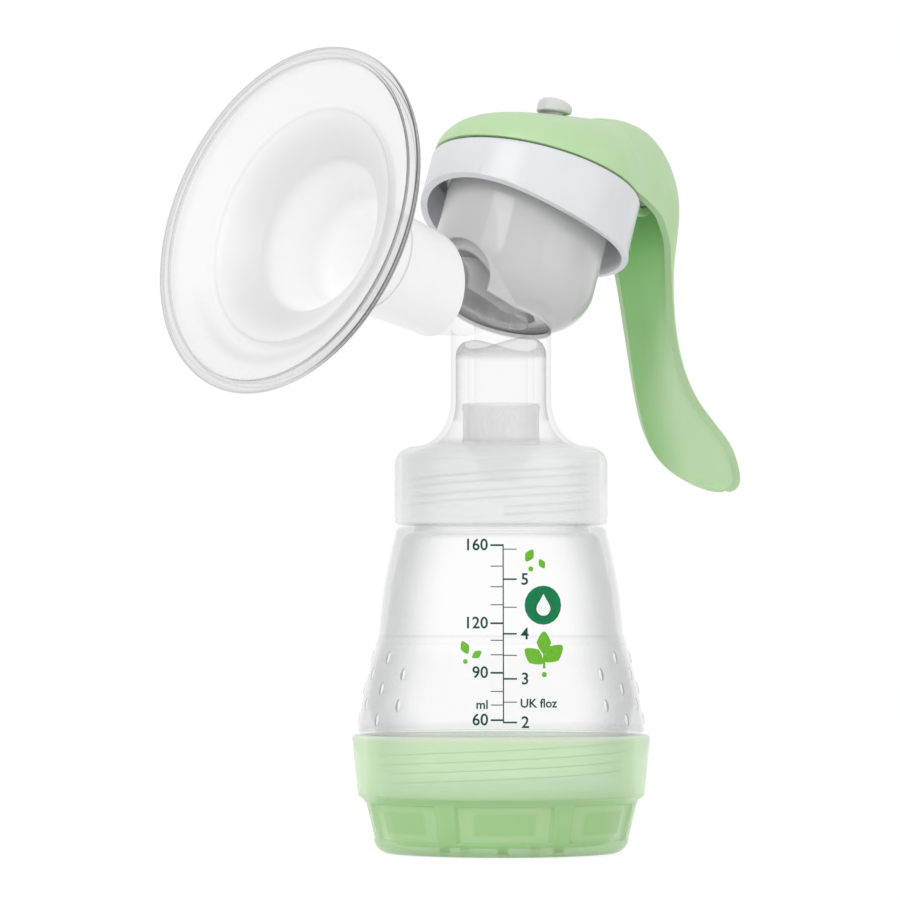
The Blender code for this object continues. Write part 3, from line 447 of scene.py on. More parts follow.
LEVER_GREEN = make_lever_green()
LEVER_INNER_SHADING = make_lever_inner_shading()
WHITE = make_white()
BOTTLE_CLEAR = make_bottle_clear()
BODY_CLEAR = make_body_clear()
FUNNEL_CLEAR = make_funnel_clear()
BASE_GREEN = make_base_green()
DISC_RUBBER = make_silicone("disc_silicone", (0.86, 0.90, 0.84), 0.6)
VALVE_RUBBER = make_silicone("valve_silicone", grey(0.93), 0.25)
DIAPHRAGM_RUBBER = make_silicone("diaphragm_silicone", grey(0.84), 0.9)
KNOB_PLASTIC = make_silicone("knob_plastic", grey(0.72), 0.85)
THREAD_CLEAR = make_thread("thread_clear", (0.50, 0.50, 0.51), 0.22)
SKIRT_THREAD = make_thread("skirt_thread_clear", (0.26, 0.46, 0.20), 0.50)
# lit and shaded copies for the grip drops: painted shade and a painted highlight
GRIP_SHADE = make_silicone("grip_shade", (0.36, 0.36, 0.37), 0.36)
GRIP_HIGHLIGHT = make_silicone("grip_painted_highlight", grey(0.98), 0.80)
DARK_INK = make_print("dark_green_ink", (0.002, 0.070, 0.040))
BADGE_INK = make_print("badge_green_ink", (0.002, 0.205, 0.070))
LEAF_INK = make_print("leaf_green_ink", (0.14, 0.45, 0.03))
PALE_INK = make_print("pale_ink", (0.85, 0.90, 0.86))


# --- modelling helpers ---

def only(piece):
    """Select one object alone and make it active."""
    bpy.ops.object.select_all(action="DESELECT")
    piece.select_set(True)
    bpy.context.view_layer.objects.active = piece


def edit(piece):
    """Enter edit mode with everything selected."""
    only(piece)
    bpy.ops.object.mode_set(mode="EDIT")
    bpy.ops.mesh.select_mode(type="VERT")
    bpy.ops.mesh.select_all(action="SELECT")


def leave():
    bpy.ops.object.mode_set(mode="OBJECT")


def reshape(piece, operator, **settings):
    """Run one edit mode operator on the whole of a piece."""
    edit(piece)
    operator(**settings)
    leave()


def added(primitive, name=None, **settings):
    """Add a primitive with nothing else selected."""
    bpy.ops.object.select_all(action="DESELECT")
    primitive(**settings)
    piece = bpy.context.object
    piece.name = name or piece.name
    return piece


def settle(piece, place=None, angle=34.0):
    """Merge doubles, point faces out, put the piece at its place, shade it."""
    edit(piece)
    bpy.ops.mesh.remove_doubles(threshold=0.000002)
    bpy.ops.mesh.normals_make_consistent(inside=False)
    leave()
    if place is not None:
        piece.matrix_world = place
    bpy.ops.object.transform_apply()
    bpy.ops.object.shade_smooth_by_angle(angle=math.radians(angle))
    return piece


def apply(piece, kind, **settings):
    """Add a modifier, set it and apply it."""
    only(piece)
    change = piece.modifiers.new(kind.lower(), kind)
    for key, value in settings.items():
        setattr(change, key, value)
    bpy.ops.object.modifier_apply(modifier=change.name)


def bevelled(piece, width, segments, angle):
    """Round the edges sharper than an angle in degrees, to a width in mm."""
    apply(piece, "BEVEL", width=width * MM, segments=segments, limit_method="ANGLE",
          angle_limit=math.radians(angle))


def cut(piece, tool, operation="DIFFERENCE"):
    """Cut or join a piece with a tool, then drop the tool."""
    apply(piece, "BOOLEAN", object=tool, operation=operation, solver="EXACT")
    bpy.data.objects.remove(tool, do_unlink=True)
    reshape(piece, bpy.ops.mesh.remove_doubles, threshold=0.000004)


def joined(name, parts):
    """Join several objects into one."""
    bpy.ops.object.select_all(action="DESELECT")
    for part in parts:
        part.select_set(True)
    bpy.context.view_layer.objects.active = parts[0]
    if len(parts) > 1:
        bpy.ops.object.join()
    parts[0].name = name
    return parts[0]


def drilled(piece, count, sides, radius, depth, spread, height=0):
    """Drill a ring of upright holes, with sizes in mm."""
    drills = []
    for i in range(count):
        turn = math.tau * i / count
        drills.append(added(bpy.ops.mesh.primitive_cylinder_add, vertices=sides,
                            radius=radius * MM, depth=depth * MM,
                            location=(spread * MM * math.cos(turn),
                                      spread * MM * math.sin(turn), height * MM)))
    cut(piece, joined("drills", drills))


def spun(name, profile, steps=96, place=None, angle=34.0, closed=False):
    """Spin an outline of (radius, height) points in mm into a turned piece.

    A closed outline is a loop clear of the axis. Any other runs from axis to axis.
    """
    piece = added(bpy.ops.mesh.primitive_plane_add, name, size=0.0001, location=(0, 0, 0))
    edit(piece)
    bpy.ops.mesh.merge(type="CENTER")
    points = [Vector((radius, 0, height)) * MM for radius, height in profile]
    if closed:
        points.append(points[0])
    bpy.ops.transform.translate(value=points[0])
    for near, far in zip(points, points[1:]):
        bpy.ops.mesh.extrude_vertices_move(TRANSFORM_OT_translate={"value": far - near})
    bpy.ops.mesh.select_all(action="SELECT")
    if closed:
        bpy.ops.mesh.remove_doubles(threshold=0.000002)
        bpy.ops.mesh.select_all(action="SELECT")
    bpy.ops.mesh.spin(steps=steps, angle=math.tau, center=(0, 0, 0), axis=(0, 0, 1))
    leave()
    return settle(piece, place, angle)


def arc(centre, radius, start, end, steps=6):
    """Points of an arc in an outline, with angles in degrees."""
    turns = [math.radians(start + (end - start) * i / steps) for i in range(steps + 1)]
    return [(centre[0] + radius * math.cos(a), centre[1] + radius * math.sin(a))
            for a in turns]


def flowing(knots, per_span):
    """A smooth run through tuples of numbers, end knots included."""
    padded = [knots[0]] + list(knots) + [knots[-1]]
    points = []
    for a, b, c, d in zip(padded, padded[1:], padded[2:], padded[3:]):
        for i in range(per_span):
            t = i / per_span
            points.append(tuple(
                0.5 * (2 * q + (r - p) * t + (2 * p - 5 * q + 4 * r - s) * t ** 2
                       + (3 * q - p - 3 * r + s) * t ** 3)
                for p, q, r, s in zip(a, b, c, d)))
    points.append(tuple(knots[-1]))
    return points


def dress(piece, look, body, slot, *nodes):
    """Give a piece its finish, its body and the CAD nodes it stands for."""
    piece.data.materials.clear()
    piece.data.materials.append(look)
    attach(piece, body)
    if nodes:
        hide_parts(*nodes)


# --- base cup, disc and bottle ---

def build_base():
    """Tinted cup: flared skirt, step, seven recessed panels, vent holes."""
    inner = [(0, 2.0), (24.3, 2.0), (25.2, 2.4), (27.0, 5.0), (29.6, 12.4), (29.6, BASE_LEDGE),
             (BASE_BORE, BASE_LEDGE), (BASE_BORE, 27.0), (31.8, 27.5), (32.2, BASE_HEIGHT)]
    outer = [(34.3, BASE_HEIGHT), (34.75, 27.4), (34.95, 26.9), (34.3, 20.0), (33.62, 13.7),
             (33.5, 13.35), (32.3, 12.5), (TIER_RADIUS, 12.2), (32.0, 11.9), (31.35, 9.4),
             (30.6, 6.2), (29.9, 3.1)]
    outer += [(26.3 + 3.7 * math.cos(math.radians(a)), 4.0 * (1 - math.sin(math.radians(a))))
              for a in (25, 38, 52, 66, 80, 90)]
    outer += [(0, 0)]
    steps = PANELS * STEPS_PER_PANEL
    base = spun("base_cup", inner + outer, steps)
    edit(base)
    bpy.ops.mesh.select_mode(type="FACE")
    bpy.ops.mesh.select_all(action="DESELECT")
    leave()
    half = STEPS_PER_PANEL / 2 - PILLAR_STEPS / 2
    for face in base.data.polygons:
        middle = face.center / MM
        around = math.degrees(math.atan2(middle.y, middle.x)) * steps / 360
        offset = (around + STEPS_PER_PANEL / 2) % STEPS_PER_PANEL - STEPS_PER_PANEL / 2
        radial = face.normal.x * middle.x + face.normal.y * middle.y
        face.select = (abs(offset) < half and 3.1 < middle.z < 11.9 and radial > 0
                       and math.hypot(middle.x, middle.y) > 29.4)
    bpy.ops.object.mode_set(mode="EDIT")
    bpy.ops.mesh.inset(thickness=0.45 * MM, depth=-1.0 * MM)
    leave()
    bevelled(base, 0.22, 2, 38)
    drilled(base, count=5, sides=32, radius=1.2, depth=8, spread=14)
    settle(base, Matrix.Rotation(FACING, 4, "Z"))
    dress(base, BASE_GREEN, "base", "base_green", "bottle_base")


def build_disc():
    """Vent disc: flange under the bottle and a crowned membrane with ribs."""
    top = [(0, 18.8), (7, 18.75), (9, 18.95), (11, 18.55), (16, 17.9), (18, 18.0), (20, 17.2),
           (28.1, 15.3), (31.0, 15.3), (31.3, 15.0), (31.3, 14.0), (31.0, 13.7)]
    under = [(28.1, 13.7), (20, 15.9), (11, 17.3), (0, 17.7)]
    disc = spun("vent_disc", top + under)
    drilled(disc, count=8, sides=20, radius=0.7, depth=14, spread=23, height=15)
    settle(disc)
    dress(disc, DISC_RUBBER, "base", "silicone_disc", "base_vent_disc")


UPPER_BODY = [(24.88, 74.7), (25.6, 71.6), (26.35, 68.3), (27.0, 65.1), (27.6, 61.9),
              (28.2, 56.4), (28.68, 51.3)]
LOWER_BODY = [(28.95, WAIST), (29.75, 47.6), (30.6, 44.3), (31.35, 41.4), (32.0, 38.7),
              (32.55, 36.0), (33.0, 33.3), (33.4, 30.6)]


def build_bottle():
    """Open bottle: skirt, flared foot, line at the waist, shoulder and neck."""
    outer = [(21.0, NECK_TOP), (21.7, 93.15), (NECK_RADIUS, 92.7), (NECK_RADIUS, 77.4),
             (22.15, 76.8), (22.6, SHOULDER)]
    outer += arc((23.28, 74.9), 1.6, 88, 6, 7) + UPPER_BODY
    outer += [(28.76, 50.95)] + LOWER_BODY
    outer += [(33.62, 28.6), (33.5, 28.1), (33.0, BODY_FOOT), (31.5, BODY_FOOT),
              (SKIRT_RADIUS, 27.6), (SKIRT_RADIUS, 16.1), (30.9, BOTTLE_FOOT)]
    inner = [(30.1, BOTTLE_FOOT), (SKIRT_BORE, 16.1), (SKIRT_BORE, 28.6), (30.2, 30.2),
             (31.4, 34.9), (30.4, 40.3), (29.0, 45.9), (27.2, 52.4), (26.0, 61.9), (23.3, 73.3),
             (22.4, 74.6), (20.9, 75.2), (20.4, 76.2), (20.4, 92.8)]
    bottle = spun("bottle_shell", outer + inner, 144, closed=True)
    dress(bottle, BOTTLE_CLEAR, "bottle", "bottle_clear", "bottle_body")


def body_radius(height):
    """Radius of the bottle's outside at a height, in mm."""
    line = UPPER_BODY + LOWER_BODY
    for (r0, z0), (r1, z1) in zip(line, line[1:]):
        if z1 <= height <= z0:
            return r0 + (r1 - r0) * (z0 - height) / (z0 - z1)
    return line[0][0] if height > line[0][1] else line[-1][0]


def build_ridge(name, radius, low, proud, tall, lead, share, start):
    """One thread ridge: a small section swept up a share of a turn."""
    ridge = added(bpy.ops.mesh.primitive_plane_add, name, size=1.0, location=(0, 0, 0),
                  rotation=(math.pi / 2, 0, 0))
    bpy.ops.object.transform_apply()
    for vert in ridge.data.vertices:
        far = vert.co.x > 0
        high = 1 if vert.co.z > 0 else -1
        vert.co = Vector((radius + (proud if far else -0.15), 0,
                          low + high * tall * (0.2 if far else 0.5))) * MM
    reshape(ridge, bpy.ops.mesh.delete, type="ONLY_FACE")
    steps = int(120 * share)
    apply(ridge, "SCREW", angle=math.tau * share, screw_offset=lead * share * MM,
          steps=steps, render_steps=steps, use_merge_vertices=False)
    reshape(ridge, bpy.ops.mesh.fill_holes, sides=4)
    return settle(ridge, Matrix.Rotation(start, 4, "Z"), 50)


def build_thread(name, look, lows, start, **section):
    """Two-start thread of the bottle, seen through the part that screws over it."""
    ridges = [build_ridge(f"{name}_{i}_{low}", low=low, start=start + math.pi * i, **section)
              for i in range(2) for low in lows]
    dress(joined(name, ridges), look, "bottle", "bottle_clear")


def build_drop(side, turn, height):
    """One teardrop grip: painted shade on the half away from the print, a painted highlight on
    the near half.
    """
    drop = added(bpy.ops.mesh.primitive_uv_sphere_add, segments=20, ring_count=10,
                 radius=1.0 * MM)
    for vert in drop.data.vertices:
        slim = 1.0 - 0.35 * max(vert.co.z / MM, 0.0)
        flat = 0.30 if vert.co.x > 0 else 0.03
        vert.co = Vector((vert.co.x * flat, vert.co.y * 0.85 * slim, vert.co.z * 1.5))
    drop.data.materials.append(GRIP_SHADE)
    drop.data.materials.append(GRIP_HIGHLIGHT)
    # painted light and shade: the near half takes the painted highlight, the far half the painted
    # shade
    for face in drop.data.polygons:
        face.material_index = 1 if face.center.y * side < -0.25 * MM else 0
    lean = math.atan2(body_radius(height - 1) - body_radius(height + 1), 2.0)
    drop.matrix_world = (Matrix.Rotation(turn, 4, "Z") @ placed(body_radius(height), 0, height)
                         @ Matrix.Rotation(-lean, 4, "Y"))
    bpy.ops.object.transform_apply()
    bpy.ops.object.shade_smooth()
    return drop


def build_grip_drops():
    """Teardrop grips moulded on both sides of the bottle's flared foot."""
    drops = []
    for side in (-1, 1):
        for column in range(4):
            turn = PRINT_FACING + side * math.radians(47.0 + 13.3 * column)
            heights = (31.4, 38.6, 45.8) if column % 2 else (34.8, 42.0)
            drops += [build_drop(side, turn, height) for height in heights]
    grips = joined("grip_drops", drops)
    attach(grips, "bottle")


# --- printed scale ---

def flat_bar(left, right, height, thick):
    """Flat bar across the print, cut into short lengths to wrap."""
    bar = added(bpy.ops.mesh.primitive_grid_add, x_subdivisions=6, y_subdivisions=1, size=1.0)
    for vert in bar.data.vertices:
        vert.co = Vector(((left + right) / 2 + vert.co.x * (right - left),
                          height + vert.co.y * thick, 0)) * MM
    return bar


def flat_text(words, size, anchor, height, align):
    """Flat lettering, as a mesh, centred on a height."""
    text = added(bpy.ops.object.text_add)
    text.data.body = words
    text.data.size = size * 1.45 * MM
    text.data.align_x = align
    text.data.align_y = "CENTER"
    text.data.offset = 0.055 * MM
    text.data.resolution_u = 3
    bpy.ops.object.convert(target="MESH")
    text = bpy.context.object
    for vert in text.data.vertices:
        vert.co = vert.co + Vector((anchor, height, 0)) * MM
    return text


def flat_shape(points):
    """Flat filled outline of (across, height) points in mm."""
    shape = added(bpy.ops.mesh.primitive_circle_add, vertices=len(points), radius=1.0,
                  fill_type="NGON")
    for vert, (across, height) in zip(shape.data.vertices, points):
        vert.co = Vector((across, height, 0)) * MM
    return shape


def wrapped(name, parts, look, lift):
    """Join flat parts, wrap them round the bottle and give them a film's depth."""
    film = joined(name, parts)
    reshape(film, bpy.ops.mesh.quads_convert_to_tris)
    for vert in film.data.vertices:
        across = vert.co.x / MM
        height = vert.co.y / MM
        radius = body_radius(height) + lift
        turn = PRINT_FACING + across / body_radius(height)
        vert.co = Vector((radius * math.cos(turn), radius * math.sin(turn), height)) * MM
    reshape(film, bpy.ops.mesh.remove_doubles, threshold=0.000001)
    reshape(film, bpy.ops.mesh.normals_make_consistent, inside=False)
    centre = Vector((math.cos(PRINT_FACING), math.sin(PRINT_FACING), 0))
    facing = sum(face.normal.dot(centre) * face.area for face in film.data.polygons)
    if facing < 0:
        reshape(film, bpy.ops.mesh.flip_normals)
    apply(film, "SOLIDIFY", thickness=0.04 * MM, offset=1.0)
    dress(film, look, "bottle", "bottle_clear")


def petal(across, height, long, wide, turn):
    """Outline of a leaf with pointed ends about a centre."""
    points = []
    for i in range(24):
        t = math.tau * i / 24
        along = long * math.cos(t)
        beside = wide * math.sin(t) * (1 - 0.45 * abs(math.cos(t)))
        points.append((across + along * math.cos(turn) - beside * math.sin(turn),
                       height + along * math.sin(turn) + beside * math.cos(turn)))
    return points


def dot(across, height, radius):
    return [(across + radius * math.cos(math.tau * i / 20),
             height + radius * math.sin(math.tau * i / 20)) for i in range(20)]


def build_print():
    """Millilitre and ounce scales with plain leaf motifs beside them."""
    line = 0.2
    upright = flat_bar(31.0, 71.85, -line, 0.28)
    for vert in upright.data.vertices:
        vert.co = Vector((-vert.co.y, vert.co.x, 0))
    reshape(upright, bpy.ops.mesh.subdivide, number_cuts=4)
    parts = [upright]
    for height in (66.84, 62.12, 57.99, 49.85, 46.54, 38.21, 35.11):
        parts.append(flat_bar(line - 2.9, line, height, 0.22))
    for height in (70.75, 57.42, 46.42, 35.77):
        parts.append(flat_bar(line, line + 3.1, height, 0.22))
    for height, words in ((71.68, "160"), (53.75, "120"), (42.43, "90"), (31.67, "60")):
        parts.append(flat_bar(line - 2.95, line + 0.1, height, 0.42))
        parts.append(flat_text(words, 2.6, line - 3.45, height, "RIGHT"))
    for height, words in ((63.85, "5"), (51.34, "4"), (41.06, "3"), (31.15, "2")):
        parts.append(flat_bar(line - 0.1, line + 3.1, height, 0.38))
        parts.append(flat_text(words, 2.6, line + 4.05, height - 0.1, "LEFT"))
    parts.append(flat_text("ml", 2.0, line - 3.45, 35.11, "RIGHT"))
    parts.append(flat_text("UK floz", 1.95, line + 3.8, 35.4, "LEFT"))
    wrapped("scale_print", parts, DARK_INK, 0.03)
    wrapped("badge_print", [flat_shape(dot(9.6, 57.9, 4.5))], BADGE_INK, 0.03)
    drop = [(0.0, 2.7), (0.75, 1.35), (1.5, 0.15), (1.75, -0.8), (1.35, -1.75), (0.55, -2.3),
            (-0.55, -2.3), (-1.35, -1.75), (-1.75, -0.8), (-1.5, 0.15), (-0.75, 1.35)]
    wrapped("badge_drop_print", [flat_shape([(9.6 + x, 57.8 + z) for x, z in drop])],
            PALE_INK, 0.08)
    leaves = [petal(7.3, 46.2, 2.7, 1.9, math.radians(143)),
              petal(12.1, 46.8, 2.9, 2.0, math.radians(38)),
              petal(9.7, 49.3, 2.6, 1.8, math.radians(90)),
              petal(6.3, 69.3, 1.6, 1.1, math.radians(60)),
              petal(9.3, 67.4, 1.2, 0.85, math.radians(120)),
              petal(-8.7, 48.2, 1.6, 1.1, math.radians(115)),
              petal(-5.9, 46.6, 1.3, 0.9, math.radians(35)),
              dot(6.6, 66.2, 0.6), dot(-8.6, 45.0, 0.55), dot(9.7, 42.0, 0.6)]
    stem = [(9.45, 47.2), (9.4, 43.4), (10.0, 43.4), (9.95, 47.2)]
    wrapped("leaf_print", [flat_shape(points) for points in leaves + [stem]], LEAF_INK, 0.03)


# --- pump body ---

def rod(name, radius, reach):
    """Rod along the tunnel with a round end over the bottle's axis."""
    outline = [(0, reach), (radius, reach)] + arc((0, 0), radius, 0, -90, 10)
    outline[-1] = (0, -radius)
    return spun(name, outline, 64, TUNNEL_PLACE)


def pin(name, radius, low, high, place):
    """Plain straight tool between two heights of a frame."""
    return spun(name, [(0, high), (radius, high), (radius, low), (0, low)], 48, place)


def build_body():
    """One clear moulding: collar, flare, neck, side tube, bowl and tubes."""
    flare = [(TUBE_NECK_RADIUS + 9.0 * (1 - math.cos(math.radians(a))),
              FLARE_TOP - (FLARE_TOP - COLLAR_TOP) * math.sin(math.radians(a)))
             for a in range(0, 90, 8)]
    outer = [(0, TUNNEL_HEIGHT), (TUBE_NECK_RADIUS, TUNNEL_HEIGHT)] + flare
    outer += arc((COLLAR_RADIUS - COLLAR_CORNER, COLLAR_TOP - COLLAR_CORNER), COLLAR_CORNER,
                 90, 0, 8)
    outer += [(COLLAR_RADIUS, 78.6), (24.85, 78.2), (24.85, 77.4), (24.6, 76.95), (24.2, 76.8),
              (23.4, 76.8), (COLLAR_BORE, 77.0), (COLLAR_BORE, 92.6)]
    outer += arc((22.2, 92.6), 1.0, 15, 90, 4) + [(0, 93.6)]
    body = spun("body_shell", outer)
    cut(body, rod("side_tube", SIDE_TUBE_RADIUS, 22.7), "UNION")

    fillet = 1.75
    space = [(radius, NECK_ROOF) for radius in (0, 3, 6, 8.4)]
    space += [(8.9 + fillet * math.sin(math.radians(a)),
               NECK_ROOF - fillet + fillet * math.cos(math.radians(a))) for a in (25, 50, 70, 90)]
    space += [(radius - 1.15, height - 0.575) for radius, height in flare]
    space += [(19.65, 93.6), (19.65, 92.1), (0, 92.1)]
    hollow = spun("neck_space", space, 80)
    for vert in hollow.data.vertices:
        if vert.co.z > FLARE_TOP * MM:    # the roof sags to both sides: it shows as an arch
            vert.co.z -= 0.036 * (vert.co.x / MM) ** 2 * MM
    cut(body, hollow)

    cup = [(FLANGE_RADIUS - 0.4, FLANGE_TOP), (FLANGE_RADIUS, FLANGE_TOP - 0.4),
           (FLANGE_RADIUS, 9.5), (BOWL_RADIUS, 8.5)]
    cup += arc((BOWL_RADIUS - 11, 11 - BOWL_DEPTH), 11, 0, -90, 14) + [(0, -BOWL_DEPTH)]
    cut(body, spun("bowl_outside", [(0, FLANGE_TOP)] + cup, 96, HEAD_PLACE), "UNION")
    inside = [(0, 13.5), (18.3, 13.5)] + arc((8.8, -9.5), 9.5, 0, -90, 12) + [(0, -19.0)]
    cut(body, spun("bowl_inside", inside, 96, HEAD_PLACE))
    cut(body, rod("spigot", SPIGOT_RADIUS, 30.7), "UNION")
    foot = placed(0, 0, BOWL_FOOT)
    cut(body, pin("milk_tube", MILK_TUBE_RADIUS, -MILK_TUBE_LENGTH, 6.7, foot), "UNION")
    cut(body, rod("tunnel_bore", TUNNEL_BORE, 61.0))
    cut(body, pin("milk_bore", MILK_BORE, -2 * MILK_TUBE_LENGTH, 6.7, foot))
    tunnel = placed(0, 0, TUNNEL_HEIGHT) @ HEAD_TURN
    cut(body, pin("suction_bore", 2.0, 0, 20.5, tunnel))
    settle(body, angle=28)
    dress(body, BODY_CLEAR, "pump", "body_clear", "pump_body")


def build_valve():
    """Silicone sleeve with a bead, narrowing to a flat bill with a slit."""
    brow = -1.25
    bill = 9.0
    depths = [brow - bill * i / 8 for i in range(1, 9)]
    outer = [(8.9, 8.2), (VALVE_RADIUS, 7.9), (VALVE_RADIUS, 6.9), (8.95, 6.6), (8.95, 0.2),
             (VALVE_RADIUS, -0.4), (VALVE_RADIUS, brow)] + [(VALVE_RADIUS, z) for z in depths]
    inner = [(7.7, z) for z in depths[::-1]]
    inner += [(6.4, -0.9), (6.5, -0.3), (8.2, -0.3), (8.2, 7.9), (8.35, 8.2)]
    valve = spun("valve_sleeve", outer + inner, 64, closed=True)
    for vert in valve.data.vertices:
        share = max(0.0, (brow - vert.co.z / MM) / bill)
        ease = math.sin(min(share, 1.0) * math.pi / 2)
        wall = math.hypot(vert.co.x, vert.co.y) / MM
        lip = 0.65 if wall > 8.5 else 0.17
        vert.co.x *= 1 + (6.5 / VALVE_RADIUS - 1) * share
        vert.co.y *= 1 + (lip / wall - 1) * ease
    settle(valve, placed(0, 0, BOWL_FOOT - MILK_TUBE_LENGTH))
    dress(valve, VALVE_RUBBER, "pump", "silicone_valve", "milk_valve")


def build_funnel():
    """Funnel: rolled lip, stepped dish, throat, tunnel and upright socket end."""
    dish = flowing([(LIP_RADIUS, 1.5), (33.6, 3.5), (28.25, 5.45)], 5)
    step = flowing([(27.9, 5.75), (22.6, 8.6), (18.6, 11.7)], 5)
    throat = flowing([(THROAT_RADIUS, 12.4), (14.1, 19.2), (10.5, 29.0), (7.1, 39.7)], 6)
    inside = dish + step + throat
    crest = arc((39.93, -1.46), 1.42, 160, -20, 12)
    back = []
    for i, (radius, depth) in enumerate(dish + step + throat[:13]):
        before = inside[max(i - 1, 0)]
        after = inside[i + 1]
        run = Vector((after[0] - before[0], after[1] - before[1])).normalized()
        back.append((radius + run.y * FUNNEL_WALL, depth - run.x * FUNNEL_WALL))
    socket = SPIGOT_RADIUS + GAP
    neck = 19.0
    widening = neck * math.tan(math.radians(4))
    start = -(socket + SOCKET_WALL) * math.tan(FUNNEL_RISE) - SOCKET_WALL
    outline = [(0, 8.3)]
    outline += [(radius, FUNNEL_REACH - depth) for radius, depth in inside[::-1]]
    outline += [(38.42, FUNNEL_REACH - 0.6)]
    outline += [(radius, FUNNEL_REACH + rise) for radius, rise in crest]
    outline += [(40.9, FUNNEL_REACH - 2.5), (40.3, FUNNEL_REACH - 3.1)]
    outline += [(radius, FUNNEL_REACH - depth) for radius, depth in back[1:]]
    outline += [(SOCKET_RADIUS + widening, neck), (SOCKET_RADIUS, 0), (SOCKET_RADIUS, start),
                (0, start)]
    funnel = spun("funnel_shell", outline, 144, FUNNEL_PLACE, 30)
    bore = [(0, 35), (TUNNEL_BORE, 35), (TUNNEL_BORE, 31), (socket, 31), (socket, GAP), (0, GAP)]
    cut(funnel, spun("socket_bore", bore, 64, TUNNEL_PLACE))
    cut(funnel, added(bpy.ops.mesh.primitive_cube_add, size=-2 * SOCKET_MOUTH * MM,
                      location=(0, 0, TUNNEL_HEIGHT * MM)))
    settle(funnel, angle=30)
    dress(funnel, FUNNEL_CLEAR, "funnel", "funnel_clear", "funnel")


# --- head: diaphragm, stem and cover ---

def build_diaphragm():
    """Soft cup in the bowl with a clamped flange and a hub for the stem."""
    outline = [(0, -3.8), (3.9, -3.8), (3.9, -1.2), (2.5, -1.2), (2.5, 0.8), (2.8, 1.0),
               (5.2, 1.0), (5.5, 0.7), (5.5, -3.6), (5.8, -3.8)]
    outline += arc((10.6, 2.0), 5.8, -90, 0, 8)
    outline += [(16.4, 13.2), (16.7, 13.5), (22.9, 13.5), (23.1, 13.2), (23.1, 12.0),
                (22.9, 11.8), (17.9, 11.8), (17.6, 11.5)]
    outline += arc((10.6, 2.0), 7.0, 0, -90, 9) + [(0, -4.98)]
    cup = spun("diaphragm_cup", outline, 72, HEAD_PLACE)
    dress(cup, DIAPHRAGM_RUBBER, "pump", "silicone_diaphragm", "diaphragm")


def build_stem():
    """Pull stem with a foot in the diaphragm's hub and a round knob."""
    rest = CROWN + STEM_RADIUS * math.tan(HEAD_TILT) + GAP - 0.06
    outline = [(0, rest + 3.1)]
    outline += [(KNOB_RADIUS * math.cos(math.radians(a)),
                 rest + 0.7 + 2.4 * (0.35 + 0.65 * math.sin(math.radians(a))))
                for a in (80, 68, 55, 42, 28, 14, 0)]
    outline += [(KNOB_RADIUS, rest + 0.95), (4.1, rest + 0.5), (3.8, rest + 0.2),
                (2.3, rest + 0.1), (STEM_RADIUS, rest - 0.4), (STEM_RADIUS, -1.5), (3.4, -1.5),
                (3.6, -1.7), (3.6, -3.3), (3.4, -3.5), (0, -3.5)]
    stem = spun("stem_knob", outline, 48)
    for vert in stem.data.vertices:    # the knob's underside slopes with the cap below it
        outside = math.hypot(vert.co.x, vert.co.y) > (STEM_RADIUS + 0.05) * MM
        if outside and CROWN * MM < vert.co.z < (rest + 0.6) * MM:
            vert.co.z += vert.co.x * 0.24 - 0.35 * MM
    settle(stem, HEAD_PLACE)
    dress(stem, KNOB_PLASTIC, "stem", "stem_plastic", "pull_stem")


def slab(name, outline, half, place):
    """Plate from an outline of (x, z) points, thick across the mirror plane."""
    plate = added(bpy.ops.mesh.primitive_circle_add, name, vertices=len(outline), radius=1.0,
                  fill_type="NGON")
    for vert, (x, z) in zip(plate.data.vertices, outline):
        vert.co = Vector((x, -half, z)) * MM
    reshape(plate, bpy.ops.mesh.extrude_region_move,
            TRANSFORM_OT_translate={"value": (0, 2 * half * MM, 0)})
    return settle(plate, place)


def build_cover():
    """White ring with an arched lower edge, roof, hinge lug and trunnions."""
    outline = [(2.8, RING_HEIGHT), (23.9, RING_HEIGHT)]
    outline += arc((24.1, 14.0), 1.2, 80, 0, 6)
    outline += [(RING_RADIUS, 9.0), (RING_RADIUS + 0.04, 5.5), (25.45, 2.4), (25.8, 0.7),
                (25.8, 0.4), (25.6, 0.1), (25.3, 0.0), (24.3, 0), (24.05, 0.3), (23.7, 1.4),
                (23.7, 6.0), (22.8, 8.4), (22.8, 9.2), (23.7, 9.2), (23.7, 13.8), (2.8, 13.8)]
    cover = spun("cover_ring", outline, 144, HEAD_PLACE, closed=True)
    reach = RING_RADIUS + 3.6
    lug = [(12.6, 14.5), (24.1, 14.5), (reach - 1.9, 18.0)]
    lug += arc((reach, 21.8), 3.8, -80, 110, 14) + [(12.6, 16.8)]
    plate = slab("hinge_lug", lug, 4.6, HEAD_PLACE)
    bevelled(plate, 0.4, 2, 40)
    cut(cover, plate, "UNION")
    cut(cover, pin("trunnion", TRUNNION_RADIUS, -6.7, 6.7, HINGE_PLACE), "UNION")
    bend = 80.0
    start = 5.0
    side = 28.5
    turn = math.degrees(math.asin((start + side) / bend))
    arch = arc((start, bend), bend, -90, -90 - turn, 40)
    arch += [(-side, -RING_HEIGHT), (start, -RING_HEIGHT)]
    cut(cover, slab("ring_arch", arch, side, HEAD_PLACE))
    settle(cover, angle=30)
    bevelled(cover, 0.2, 2, 50)
    settle(cover, angle=40)
    dress(cover, WHITE, "pump", "cover_white", "pump_cover")


# --- lever ---

# share of the cap's radius from its middle, and share of the crown's full height
CAP_ROWS = [(-0.985, 0.42), (-0.94, 0.66), (-0.85, 0.86), (-0.68, 0.97), (-0.42, 1.0),
            (-0.1, 1.0), (0.22, 1.0), (0.5, 1.0)]
